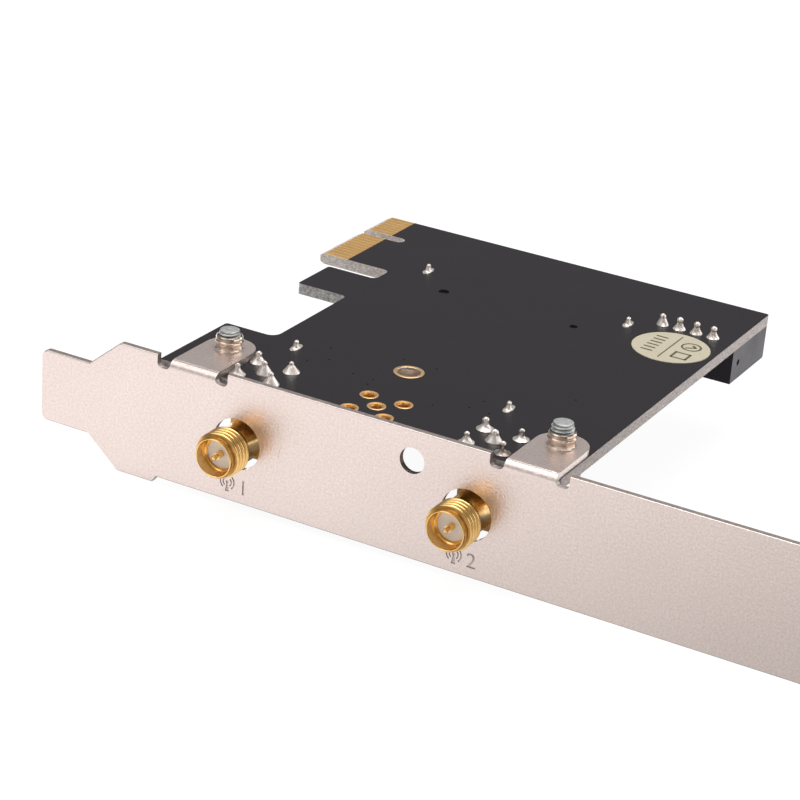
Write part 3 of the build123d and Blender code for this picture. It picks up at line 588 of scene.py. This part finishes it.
mark = {"x": (29.95, 63.45), "z": -6.02, "depth": 0.1, "mast": (0.09, 0.3, -1.02), "dot": 0.24, "dotSides": 12,
        "dotRise": 0.32, "arcs": (0.62, 1.05), "arcSteps": 8, "stroke": 0.2, "spread": 52, "before": 0.2,
        "digitShift": 2.45, "digitSize": 2.95, "digitLift": 0.05, "overlap": 0.1,
        "digits": "12", "middle": 1, "half": (3, 1.8)}
scratch = {"origin": (37.55, -0.003, 0.7), "width": 0.035, "rise": 0.004,
           "points": [(0.22, 0.95), (0.04, 0.45), (-0.1, -0.1), (-0.16, -0.85)]}


def markCutter(x, digit):
    # a mast with waves on both sides and a plain digit, little solids that reach into the face
    top, foot, drop = mark["mast"]
    rise = mark["dotRise"]
    high = rise - mark["overlap"]
    outlines = [[(-top, high), (-foot, drop), (foot, drop), (top, high)]]
    turns = [index * fullTurn / mark["dotSides"] for index in range(mark["dotSides"])]
    outlines.append([(mark["dot"] * math.cos(turn), rise + mark["dot"] * math.sin(turn)) for turn in turns])
    spread, steps = math.radians(mark["spread"]), mark["arcSteps"]
    turns = [spread * (2 * index / steps - 1) for index in range(steps + 1)]
    for side in (-1, 1):
        for radius in mark["arcs"]:
            inner, outer = radius - mark["stroke"] / 2, radius + mark["stroke"] / 2
            arc = [(side * outer * math.cos(turn), rise + outer * math.sin(turn)) for turn in turns]
            arc += [(side * inner * math.cos(turn), rise + inner * math.sin(turn)) for turn in reversed(turns)]
            outlines.append(arc)
    signs = [plate("sign", (x, -mark["before"], mark["z"]), [(px, 0, pz) for px, pz in outline],
                   (0, mark["before"] + mark["depth"], 0)) for outline in outlines]
    bpy.ops.object.select_all(action="DESELECT")
    place = (x + mark["digitShift"], -mark["digitLift"], mark["z"])
    bpy.ops.object.text_add(location=[value * mm for value in place], rotation=(math.radians(90), 0, 0))
    text = bpy.context.object
    text.data.body = digit
    text.data.size = mark["digitSize"] * mm
    text.data.align_x = text.data.align_y = "CENTER"
    text.data.extrude = (mark["digitLift"] + mark["depth"]) * mm
    text.data.resolution_u = 4
    selectOnly(text)
    bpy.ops.object.convert(target="MESH")
    number = settle(bpy.context.object)
    startEdit(number, "VERT")
    closeMesh()
    return signs + [number]


def swapCollar(sheet, x):
    # the plain collar and its bore are cut away and the sheet closed flat under the new one
    y = bracket["lugY"]
    pickFaces(sheet, lambda p, n: (within(p, x, y, bracket["collarOuter"]) and p.z > bracket["top"] + 0.001)
              or (within(p, x, y, bracket["boreReach"]) and p.z > bracket["low"] + 0.01))
    bpy.ops.mesh.delete(type="FACE")
    pickAll()
    bpy.ops.mesh.fill_holes(sides=0)
    pickAll()
    bpy.ops.mesh.dissolve_limited(angle_limit=flatAngle)
    endEdit()
    return turnedUp("collar", x, y, bracket["top"], bracket["collar"], bracket["steps"])


def easeFront(sheet):
    # rounds the sharp front edges of the stamped sheet
    startEdit(sheet, "EDGE")
    bpy.ops.mesh.edges_select_sharp(sharpness=math.radians(60))
    endEdit()
    corners = sheet.data.vertices
    for edge in sheet.data.edges:
        edge.select = edge.select and all(abs(corners[index].co.y) < 0.001 * mm for index in edge.vertices)
    bpy.ops.object.mode_set(mode="EDIT")
    bpy.ops.mesh.bevel(offset=bracket["frontRound"] * mm, segments=3, clamp_overlap=True)
    endEdit()


def buildBracket():
    sheet = nodeCopy("bracket", "bracket_sheet", angle=28)
    easeFront(sheet)
    collars = [swapCollar(sheet, x) for x in bracket["lugs"]]
    for x, digit in zip(mark["x"], mark["digits"]):
        for cutter in markCutter(x, digit):
            applyModifier(sheet, "BOOLEAN", object=cutter, operation="DIFFERENCE", solver="EXACT")
            bpy.data.objects.remove(cutter)
    half = scratch["width"] / 2
    outline = [(x - half, 0, z) for x, z in scratch["points"]]
    outline += [(x + half, 0, z) for x, z in reversed(scratch["points"])]
    hair = plate("bracket_scratch", scratch["origin"], outline, (0, scratch["rise"], 0))
    whole = joinAll([sheet] + collars, "bracket_sheet")
    wear(whole, bracketNickel, nickelEdgeAndShade, collarNickel, engravedShade, engravedFloor)
    paintFaces(whole, 0, lambda p, n: True)
    # the sheet's rim in the rougher edge finish, then its rounded lower edge in front, darkened with it as painted
    # shade
    paintFaces(whole, 1, lambda p, n: abs(n.y) < 0.35 and -0.01 < p.y < bracket["rimDepth"]
               and abs(n.x) + abs(n.z) > 0.9)
    paintFaces(whole, 1, lambda p, n: n.z < -0.3 and n.y < -0.2 and 0 < p.y < bracket["frontRound"] + 0.1)
    for x in bracket["lugs"]:
        # the lug's sides in the darker edge finish, partly painted shade, apart from the right lug's outer side,
        # which faces the side light and keeps the plate's colour as painted light; and its collar
        paintFaces(whole, 1, lambda p, n: abs(n.z) < 0.5 and bracket["low"] - 0.1 < p.z < bracket["top"] + 0.1
                   and p.y > bracket["lugStart"] and abs(p.x - x) < bracket["lugHalf"]
                   and (n.x < 0.5 or x < bracket["betweenLugs"]))
        paintFaces(whole, 2, lambda p, n: within(p, x, bracket["lugY"], bracket["collarReach"])
                   and p.z > bracket["top"] + 0.02)
    for x in bracket["jacks"]:
        paintFaces(whole, 2, lambda p, n: abs(math.hypot(p.x - x, p.z) - bracket["holeRadius"]) < 0.06
                   and 0 < p.y < bracket["thick"])
    halfWide, halfTall = mark["half"]
    for x in mark["x"]:
        for index, low, high in ((3, 0.001, mark["depth"] - 0.01), (4, mark["depth"] - 0.01, mark["depth"] + 0.02)):
            paintFaces(whole, index, lambda p, n: low < p.y < high and abs(p.x - x - mark["middle"]) < halfWide
                       and abs(p.z - mark["z"]) < halfTall)
    smooth(whole, 28, weighted=True)
    handIn(whole, "bracket_steel", "bracket")
    dress(smooth(hair), engravedShade, "bracket_steel")


buildBracket()
print("stage: bracket built")


# circuit board
board = {"top": 7.94, "contactEnd": 18.34, "tabFront": 49, "spareX": 47.81, "jackY": 6.04,
         "pitch": 2.54, "pegHoles": ((35.45, 46.9), (55.95, 46.9)), "pegReach": 1, "holeReach": 0.9, "flat": 0.98}
legPlaces = [(i * board["pitch"], j * board["pitch"]) for i in (-1, 1) for j in (-1, 1)] + [(0, 0)]


def buildBoard():
    whole = nodeCopy("circuit_board", "board_laminate", angle=30)
    splitAt(whole, (board["contactEnd"], 0, 0), (1, 0, 0))
    wear(whole, boardMask, laminateEdge, laminateBare, holeCopper, laminateEdgePaintedLight, laminateFrontPaintedLight, pegWall)
    paintFaces(whole, 0, lambda p, n: True)
    flat, front = board["flat"], board["tabFront"] - 1
    paintFaces(whole, 2, lambda p, n: abs(n.z) > flat and p.x < board["contactEnd"] and p.y > front)
    paintFaces(whole, 1, lambda p, n: abs(n.z) < flat)
    # edges facing the front or the left end take lighter copies of the edge colour as painted light
    paintFaces(whole, 4, lambda p, n: abs(n.z) < flat and (n.y < -0.3 or n.x < -0.3))
    paintFaces(whole, 5, lambda p, n: abs(n.z) < flat and n.y < -0.3 and p.y < front)
    for x, y in board["pegHoles"]:
        paintFaces(whole, 6, lambda p, n: abs(n.z) < 0.5 and within(p, x, y, board["pegReach"]))
    holes = [(x + i, board["jackY"] + j) for x in (*bracket["jacks"], board["spareX"])
             for i, j in legPlaces]
    for x, y in holes:
        paintFaces(whole, 3, lambda p, n: abs(n.z) < 0.5 and within(p, x, y, board["holeReach"]))
    smooth(whole, 30, weighted=True)
    handIn(whole, "board_laminate", "circuit_board")


# the smallest plated holes, drawn as dots of painted shade: places in mm
via = {"radius": 0.15, "sunk": 0.02, "proud": 0.004, "steps": 16,
       "places": [(43.4, 11.4), (43.2, 13.2), (40.2, 13.3), (43.1, 21.5), (33.2, 13.2), (35.3, 15.3), (33.5, 18.8),
                  (48.1, 21.6), (53.3, 10.9), (57.4, 13.2), (58, 16), (60.3, 13.1), (67.3, 24)]}


def buildVias():
    radius, sunk, proud = via["radius"], via["sunk"], via["proud"]
    profile = [(0, -sunk), (radius, -sunk), (radius, proud), (0, proud)]
    dots = [turnedUp("dot", x, y, board["top"], profile, via["steps"]) for x, y in via["places"]]
    dress(smooth(joinAll(dots, "board_vias")), viaPaintedShade, "board_laminate")


buildBoard()
buildVias()
for side in ("solder", "component"):
    wear(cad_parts["edge_contacts_" + side + "_side"], contactGold)
print("stage: board and edge contacts done")


# antenna jacks: CAD block, turned nose and a wound thread
jack = {"tip": -5.5, "lip": (2.65, 0.34), "minor": 2.76, "major": 3.175, "pitch": 0.7056,
        "threadRoot": -1.2, "neck": 2.7, "mouth": (2.46, 1.95), "bore": 2.05, "cut": 2.9, "neckEnd": 2.95,
        "ease": 0.05, "corner": 0.12, "steps": 96, "legTop": 8, "grooveRise": 0.12, "grooveFrom": 2.6,
        "threadIn": 0.28, "threadOut": 0.32, "threadSteps": 64,
        "tooth": [(-0.03, -0.49), (0.52, -0.36), (0.86, -0.22), (1, -0.06), (1, 0.06), (0.86, 0.22),
                  (0.52, 0.36), (-0.03, 0.49)]}


def buildJack(node, name):
    low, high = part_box(node)
    middle = (low.x + high.x) / 2 / mm
    origin = (middle, 0, 0)
    block = nodeCopy(node, name, angle=30)
    trimTop(block, jack["legTop"])
    splitAt(block, (0, jack["cut"], 0), (0, -1, 0), clear_outer=True)
    startEdit(block, "EDGE")
    bpy.ops.mesh.select_non_manifold(extend=False, use_wire=False, use_multi_face=False,
                                     use_non_contiguous=False, use_verts=False)
    bpy.ops.mesh.bridge_edge_loops()
    endEdit()
    tip = jack["tip"]
    lipRadius, lipLength = jack["lip"]
    mouthRadius, mouthDepth = jack["mouth"]
    ease, corner = jack["ease"], jack["corner"]
    profile = [(jack["bore"], jack["neckEnd"]), (jack["bore"], tip + mouthDepth),
               (mouthRadius - corner, tip + mouthDepth), (mouthRadius, tip + mouthDepth - corner),
               (mouthRadius, tip + ease), (mouthRadius + ease, tip), (lipRadius - ease, tip),
               (lipRadius, tip + ease), (lipRadius, tip + lipLength), (jack["minor"], tip + lipLength + 0.05),
               (jack["minor"], jack["threadRoot"]), (jack["neck"], jack["threadRoot"] + 0.1),
               (jack["neck"], jack["neckEnd"]), (jack["bore"], jack["neckEnd"])]
    nose = turned(name + "_nose", origin, (0, 1, 0), [(r, y, 0) for r, y in profile], jack["steps"])
    pitch = jack["pitch"]
    depth = jack["major"] - jack["minor"]
    first = tip + lipLength + jack["threadIn"]
    tooth = [(jack["minor"] + depth * rise, first + pitch * along, 0) for rise, along in jack["tooth"]]
    turns = (jack["threadRoot"] - jack["threadOut"] - first) / pitch
    thread = threadTooth(name + "_thread", origin, "Y", tooth, turns, pitch, jack["threadSteps"])
    whole = joinAll([block, nose, thread], name)
    wear(whole, jackGold, goldPaintedShade)
    # the thread's roots take painted shade
    groove = jack["minor"] + jack["grooveRise"]
    paintFaces(whole, 1, lambda p, n: tip + lipLength < p.y < jack["threadRoot"] + 0.05
               and jack["grooveFrom"] < math.hypot(p.x - middle, p.z) < groove)
    smooth(whole, 36)
    handIn(whole, "jack_gold", node)


for side in ("left", "right"):
    group = "antenna_jack_" + side
    buildJack(group + "_body", "jack_shell_" + side)
    insulator = nodeCopy(group + "_insulator", "jack_insulator_" + side)
    dress(insulator, insulatorWhite, "insulator_white", group + "_insulator")
    pin = nodeCopy(group + "_pin", "jack_pin_" + side)
    trimTop(pin, jack["legTop"])
    dress(smooth(pin), jackGold, "jack_gold", group + "_pin")
print("stage: antenna jacks turned and threaded")


# solder joints: bells of many shapes, from a full cone to a thin post with a ball
bell = {"pocket": 0.07, "depth": 1.6, "foot": 0.04, "flankSteps": 9, "tipSteps": 5, "bendFrom": 0.05,
        "jackLegs": (0.5, 0.45), "jackHole": 0.75, "jackSteps": 40, "darkened": (1.2, 1.15),
        "headerLeg": 0.32, "headerHole": 0.55, "headerSteps": 56, "headerEdge": 0.925}
#                 i   j  radius height neck  ball power leanX leanY
leftJoints = [(-1, -1, 1.10, 1.60, 0.34, 0.36, 2.00, 0.00, 0.05),
              (1, 1, 1.15, 1.47, 0.32, 0.33, 1.10, -0.04, 0.00),
              (-1, 1, 1.08, 1.60, 0.40, 0.43, 1.50, 0.05, 0.02),
              (0, 0, 1.12, 1.75, 0.35, 0.37, 1.12, 0.00, -0.05),
              (1, -1, 1.15, 1.72, 0.36, 0.38, 1.15, -0.05, 0.03)]
rightJoints = [(-1, -1, 1.08, 1.52, 0.35, 0.37, 2.00, 0.03, 0.00),
               (-1, 1, 1.15, 1.62, 0.41, 0.45, 2.30, 0.00, 0.05),
               (0, 0, 1.12, 1.60, 0.55, 0.57, 1.10, 0.05, 0.00),
               (1, 1, 1.08, 1.50, 0.33, 0.38, 3.20, 0.03, -0.03),
               (1, -1, 1.08, 1.62, 0.33, 0.39, 3.40, -0.03, 0.00)]
#                radius height neck  ball power leanX leanY
headerJoints = [(0.88, 1.62, 0.42, 0.44, 1.20, -0.14, 0.06),
                (0.92, 1.75, 0.37, 0.45, 1.55, 0.00, 0.03),
                (0.90, 1.75, 0.38, 0.46, 1.60, 0.04, 0.00),
                (0.92, 1.72, 0.37, 0.45, 1.55, 0.02, 0.04)]
#              turns round the joint, width, depth, lowest and highest share of the height
jackSlit = ((-1.15,), 0.34, 0.34, 0.55, 0.96)
headerSlit = ((-1.5, -0.7), 0.2, 0.45, 0.06, 0.7)
splitSlit = ((-1.09,), 0.34, 0.6, 0.05, 0.92)


def bellShape(name, x, y, leg, hole, look, steps, slit):
    radius, height, neck, ball, power, leanX, leanY = look
    start = -math.acos(neck / ball)
    flank = height - ball + ball * math.sin(start)
    profile = [(0, bell["pocket"]), (leg, bell["pocket"]), (leg, -bell["depth"]), (hole, -bell["depth"]),
               (hole, 0), (radius, 0)]
    for step in range(bell["flankSteps"]):
        share = step / bell["flankSteps"]
        profile.append((neck + (radius - neck) * (1 - share) ** power,
                        bell["foot"] + (flank - bell["foot"]) * share))
    for step in range(bell["tipSteps"]):
        angle = start + (math.pi / 2 - start) * step / bell["tipSteps"]
        profile.append((ball * math.cos(angle), height - ball + ball * math.sin(angle)))
    profile.append((0, height))
    piece = turnedUp(name, x, y, board["top"], profile, steps)
    centre = Vector((x, y, board["top"])) * mm
    angles, wide, deep, lowest, highest = slit
    for vertex in piece.data.vertices:
        offset = vertex.co - centre
        level = offset.z / height / mm
        if level <= bell["bendFrom"]:
            continue
        around = math.atan2(offset.y, offset.x)
        for angle in angles:
            rise = max(0, (level - lowest) * (highest - level)) * 4 / (highest - lowest) ** 2
            pull = 1 - deep * rise * math.exp(-((around - angle) / wide) ** 2)
            offset.x *= pull
            offset.y *= pull
        offset.x += leanX * mm * level ** 2
        offset.y += leanY * mm * level ** 2
        vertex.co = centre + offset
    return piece


def buildJoints():
    cornerLeg, middleLeg = bell["jackLegs"]
    bells = []
    for x, looks in zip(bracket["jacks"], (leftJoints, rightJoints)):
        for i, j, *look in looks:
            leg = cornerLeg if i else middleLeg
            place = (x + i * board["pitch"], board["jackY"] + j * board["pitch"])
            bells.append(bellShape("bell", *place, leg, bell["jackHole"], look, bell["jackSteps"], jackSlit))
    whole = joinAll(bells, "jack_joints")
    wear(whole, solderBright, solderDarkened)
    # the lower part of one front joint takes a darker solder colour
    darkenedX = bracket["jacks"][1] + board["pitch"]
    darkenedY = board["jackY"] - board["pitch"]
    reach, rise = bell["darkened"]
    paintFaces(whole, 1, lambda p, n: within(p, darkenedX, darkenedY, reach) and p.z < board["top"] + rise)
    handIn(smooth(whole, 40), "solder", "jack_solder_joints")
    low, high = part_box("header_solder_joints")
    first = low.x / mm + bell["headerEdge"]
    pitch = ((high.x - low.x) / mm - 2 * bell["headerEdge"]) / 3
    y = (low.y + high.y) / 2 / mm
    bells = [bellShape("bell", first + pitch * index, y, bell["headerLeg"], bell["headerHole"], look,
                       bell["headerSteps"], headerSlit if index else splitSlit)
             for index, look in enumerate(headerJoints)]
    dress(smooth(joinAll(bells, "header_joints"), 40), solderBright, "solder", "header_solder_joints")


buildJoints()


# solder on the cover's tabs: a flat oblong pad with one narrow peak
tabJoint = {"x": (29.8, 61.64), "y": (15.97, 52.65), "pad": (1.3, 2.95), "trim": 8.03, "creased": 1,
            "rises": [(0.05, 0.98, 0.98), (0.02, 0.9, 0.52), (0.16, 0.86, 0.76), (0.4, 0.74, 0.76),
                      (0.3, 0.88, 0.88), (0.14, 0.55, 0.55)]}


def buildTabJoints():
    mounds = []
    for x in tabJoint["x"]:
        for y in tabJoint["y"]:
            mound = newPlane(mm, (x * mm, y * mm, board["top"] * mm))
            startEdit(mound)
            pickAll()
            bpy.ops.transform.resize(value=(*tabJoint["pad"], 1))
            bpy.ops.transform.edge_crease(value=1)
            for index, (rise, wide, long) in enumerate(tabJoint["rises"]):
                bpy.ops.mesh.extrude_region_move(TRANSFORM_OT_translate={"value": (0, 0, rise * mm)})
                bpy.ops.transform.resize(value=(wide, long, 1))
                if index < tabJoint["creased"]:
                    bpy.ops.transform.edge_crease(value=1)
            closeMesh()
            applyModifier(mound, "SUBSURF", levels=2, render_levels=2)
            mounds.append(settle(mound))
    dress(smooth(joinAll(mounds, "tab_joints"), 50), solderBright, "solder", "cover_solder_joints")
    cover = nodeCopy("module_cover", "radio_cover")
    trimTop(cover, tabJoint["trim"])
    dress(smooth(cover), tinPlate, "tin_plate", "module_cover")


buildTabJoints()
print("stage: solder joints shaped")


# spare antenna position and standoff: plated rings
ring = {"eyelet": [(0.7, -1.64), (1.24, -1.64), (1.26, -1.62), (1.26, -1.6), (0.76, -1.6), (0.76, 0),
                   (1.25, 0), (1.25, 0.03), (1.22, 0.055), (1.1, 0.06), (1.02, 0.05), (0.9, 0.022),
                   (0.8, 0.006), (0.74, -0.05), (0.68, -0.2), (0.6, -0.42), (0.54, -0.75), (0.54, -1.2),
                   (0.7, -1.64)],
        "standoff": [(1.56, 0), (2.06, 0), (2.06, 0.03), (2.02, 0.055), (1.66, 0.06), (1.6, 0.045),
                     (1.56, 0)],
        "bright": 0.98, "deep": 0.3, "standoffAt": (45.7, 18.3), "nutTop": 7.74, "steps": 48,
        "nutSteps": ((0.12, 0.04), (0.55, 0.05), (0.3, 0.1))}


def buildRings():
    eyelets = []
    for i, j in legPlaces:
        x, y = board["spareX"] + i, board["jackY"] + j
        eyelet = turnedUp("eyelet", x, y, board["top"], ring["eyelet"], ring["steps"])
        wear(eyelet, padGold, holeCopper, goldPaintedShade)
        paintFaces(eyelet, 1, lambda p, n: within(p, x, y, ring["bright"]))
        # deeper in the hole the wall takes painted shade
        paintFaces(eyelet, 2, lambda p, n: p.z < board["top"] - ring["deep"])
        eyelets.append(eyelet)
    handIn(smooth(joinAll(eyelets, "spare_eyelets"), 40), "pad_gold", "spare_antenna_pads")
    washer = turnedUp("standoff_ring", *ring["standoffAt"], board["top"], ring["standoff"])
    dress(smooth(washer, 40), padGold, "pad_gold", "standoff_pad")
    nut = nodeCopy("module_standoff", "standoff_nut")
    pickFaces(nut, lambda p, n: n.z > 0.9 and p.z > ring["nutTop"] - 0.01)
    for inset, drop in ring["nutSteps"]:
        bpy.ops.mesh.inset(thickness=inset * mm)
        bpy.ops.transform.translate(value=(0, 0, -drop * mm))
    endEdit()
    wear(nut, screwZinc, nutFace)
    paintFaces(nut, 1, lambda p, n: p.z > ring["nutTop"] - 0.3)
    handIn(smooth(nut, 25), "screw_zinc", "module_standoff")


buildRings()


# bracket screws: CAD head and shank, turned end and wound thread
screw = {"cut": 9.5, "pitch": 0.5, "root": 1.24, "reaches": (0.7, 1.2), "collarTop": 10.65, "threadStop": 0.24,
         "grooveTo": 1.3, "steps": 56, "foot": [(0, -1.15), (1.5, -1.15), (1.5, -0.9), (1.24, -0.8)],
         "end": [(1.24, -0.2), (1.34, -0.15), (1.34, -0.09), (1.26, -0.03), (1.17, 0), (0.5, -0.02), (0, -0.025)],
         "threadFrom": -0.62, "tooth": [(1.22, -0.21), (1.46, -0.05), (1.49, 0), (1.46, 0.05), (1.22, 0.21)]}


def buildScrews():
    shanks = nodeCopy("bracket_screws", "lug_screws")
    trimTop(shanks, screw["cut"])
    parts = [shanks]
    for x, reach in zip(bracket["lugs"], screw["reaches"]):
        origin = (x, bracket["lugY"], screw["collarTop"])
        profile = screw["foot"] + [(r, reach + z) for r, z in screw["end"]]
        parts.append(turnedUp("end", *origin, profile, screw["steps"]))
        start = screw["threadFrom"]
        turns = (reach - screw["threadStop"] - start) / screw["pitch"]
        tooth = [(r, 0, start + z) for r, z in screw["tooth"]]
        parts.append(threadTooth("turns", origin, "Z", tooth, turns, screw["pitch"], screw["steps"]))
    whole = joinAll(parts, "lug_screws")
    wear(whole, screwZinc, zincPaintedShade)
    # the thread's grooves take painted shade
    for x in bracket["lugs"]:
        paintFaces(whole, 1, lambda p, n: p.z > screw["cut"] + 0.4 and abs(n.z) < 0.9
                   and screw["root"] - 0.1 < math.hypot(p.x - x, p.y - bracket["lugY"]) < screw["grooveTo"])
    handIn(smooth(whole, 34), "screw_zinc", "bracket_screws")


buildScrews()
print("stage: rings and screws done")


# round sticker with plain printed shapes: a line, a tick in a ring, a square frame and six bars
sticker = {"x": 69.98, "y": 48.5, "radius": 5.42, "thickness": 0.1, "ease": 0.03, "steps": 96, "ink": 0.012,
           "overrun": 0.35, "ringSteps": 48,
           "line": (-0.13, -4.2, 4.4, 0.2), "ring": (2.3, 1.75, 1.45, 1.15),
           "tick": [(2.35, 2.35), (2.9, 1.85), (1.75, 1.1)],
           "frame": [(1.25, -1), (3.35, -1), (3.35, -3), (1.25, -3), (1.25, -1)], "stroke": 0.34,
           "barX": -3.2, "barY": (-2.75, -1.65, -0.55, 0.55, 1.65, 2.75), "bar": (1.5, 0.36)}


def inkStrip(start, end, width):
    top = board["top"] + sticker["thickness"]
    way = Vector((end[0] - start[0], end[1] - start[1], 0))
    side = Vector((-way.y, way.x, 0)).normalized() * width / 2
    reach = way.normalized() * width * sticker["overrun"]
    first = Vector((*start, 0)) - reach
    last = Vector((*end, 0)) + reach
    corners = [first - side, last - side, last + side, first + side]
    return plate("ink", (sticker["x"], sticker["y"], top), corners, (0, 0, sticker["ink"]))


def buildSticker():
    radius, thick, ease = sticker["radius"], sticker["thickness"], sticker["ease"]
    profile = [(0, 0), (radius, 0), (radius, thick - ease), (radius - ease, thick), (0, thick)]
    disc = turnedUp("round_sticker", sticker["x"], sticker["y"], board["top"], profile, sticker["steps"])
    dress(smooth(disc), stickerPaper, "sticker_paper", "inspection_sticker")
    across, low, high, width = sticker["line"]
    strips = [inkStrip((across, low), (across, high), width)]
    for corners in (sticker["tick"], sticker["frame"]):
        strips += [inkStrip(first, last, sticker["stroke"]) for first, last in zip(corners, corners[1:])]
    length, width = sticker["bar"]
    start = sticker["barX"]
    strips += [inkStrip((start, y), (start + length, y), width) for y in sticker["barY"]]
    x, y, outer, inner = sticker["ring"]
    top = thick + sticker["ink"]
    profile = [(inner, thick), (outer, thick), (outer, top), (inner, top), (inner, thick)]
    place = (sticker["x"] + x, sticker["y"] + y, board["top"])
    strips.append(turnedUp("ink", *place, profile, sticker["ringSteps"]))
    dress(smooth(joinAll(strips, "sticker_print")), stickerInk, "sticker_paper")


buildSticker()
print("stage: sticker done")


# small parts: end caps on the chips, terminals and a band on the supply capacitors
smallParts = {"capFrom": 0.499, "capTo": 0.9, "chipHalf": 0.6, "terminalTop": 6.22, "band": 0.85, "casePitch": 6.5,
              "acrossChips": [(27.4, 57.2), (27.4, 58.8)],
              "alongChips": [(66 + 2.4 * i, 20) for i in range(4)] + [(66 + 2.4 * i, 24.5) for i in range(3)]
              + [(32.5 + 3 * i, 57.4) for i in range(8)]}


def onCap(p, n):
    near, far, half = smallParts["capFrom"], smallParts["capTo"], smallParts["chipHalf"]
    return (any(abs(p.y - y) < half and near < abs(p.x - x) < far for x, y in smallParts["acrossChips"])
            or any(abs(p.x - x) < half and near < abs(p.y - y) < far for x, y in smallParts["alongChips"]))


def buildSmallParts():
    for node, name, finish, slot in (("chip_capacitors", "small_capacitors", chipTan, "capacitor_tan"),
                                     ("chip_resistors", "small_resistors", chipBlack, "resistor_black")):
        chips = nodeCopy(node, name)
        wear(chips, finish, pinTin)
        paintFaces(chips, 1, onCap)
        handIn(chips, slot, node)
    cases = nodeCopy("bulk_capacitors", "supply_capacitors")
    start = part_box("bulk_capacitors")[0].x / mm + smallParts["band"]
    bandEnds = [start, start + smallParts["casePitch"]]
    for place in bandEnds:
        splitAt(cases, (place, 0, 0), (1, 0, 0))
    wear(cases, tantalumYellow, pinTin, tantalumBand)
    for place in bandEnds:
        paintFaces(cases, 2, lambda p, n: -smallParts["band"] - 0.1 < p.x - place < 0)
    paintFaces(cases, 1, lambda p, n: p.z > smallParts["terminalTop"])
    handIn(smooth(cases), "tantalum_yellow", "bulk_capacitors")


buildSmallParts()

# pieces whose CAD form is right: a smoothed copy with its finish, some with eased edges
plainPieces = [
    ("module_screw", "radio_screw", screwZinc, "screw_zinc"),
    ("module_board", "radio_board", moduleGreen, "module_laminate"),
    ("module_shield", "radio_can", tinPlate, "tin_plate"),
    ("module_antenna_sockets", "radio_coax_sockets", contactGold, "contact_gold"),
    ("board_antenna_sockets", "board_coax_sockets", contactGold, "contact_gold"),
    ("module_socket_housing", "radio_socket", connectorBlack, "connector_black", 0.08),
    ("module_socket_contacts", "radio_socket_feet", contactGold, "contact_gold"),
    ("header_housing", "cable_header_shell", connectorBlack, "connector_black", 0.1),
    ("resettable_fuse", "line_fuse", fuseGreen, "fuse_green", 0.04),
]
for node, name, finish, slot, *bevel in plainPieces:
    dress(nodeCopy(node, name, *bevel), finish, slot, node)
pins = nodeCopy("header_pins", "cable_header_pins", bevel=0.04)
trimTop(pins, jack["legTop"])
dress(smooth(pins), pinTin, "pin_tin", "header_pins")
print("stage: remaining pieces finished")
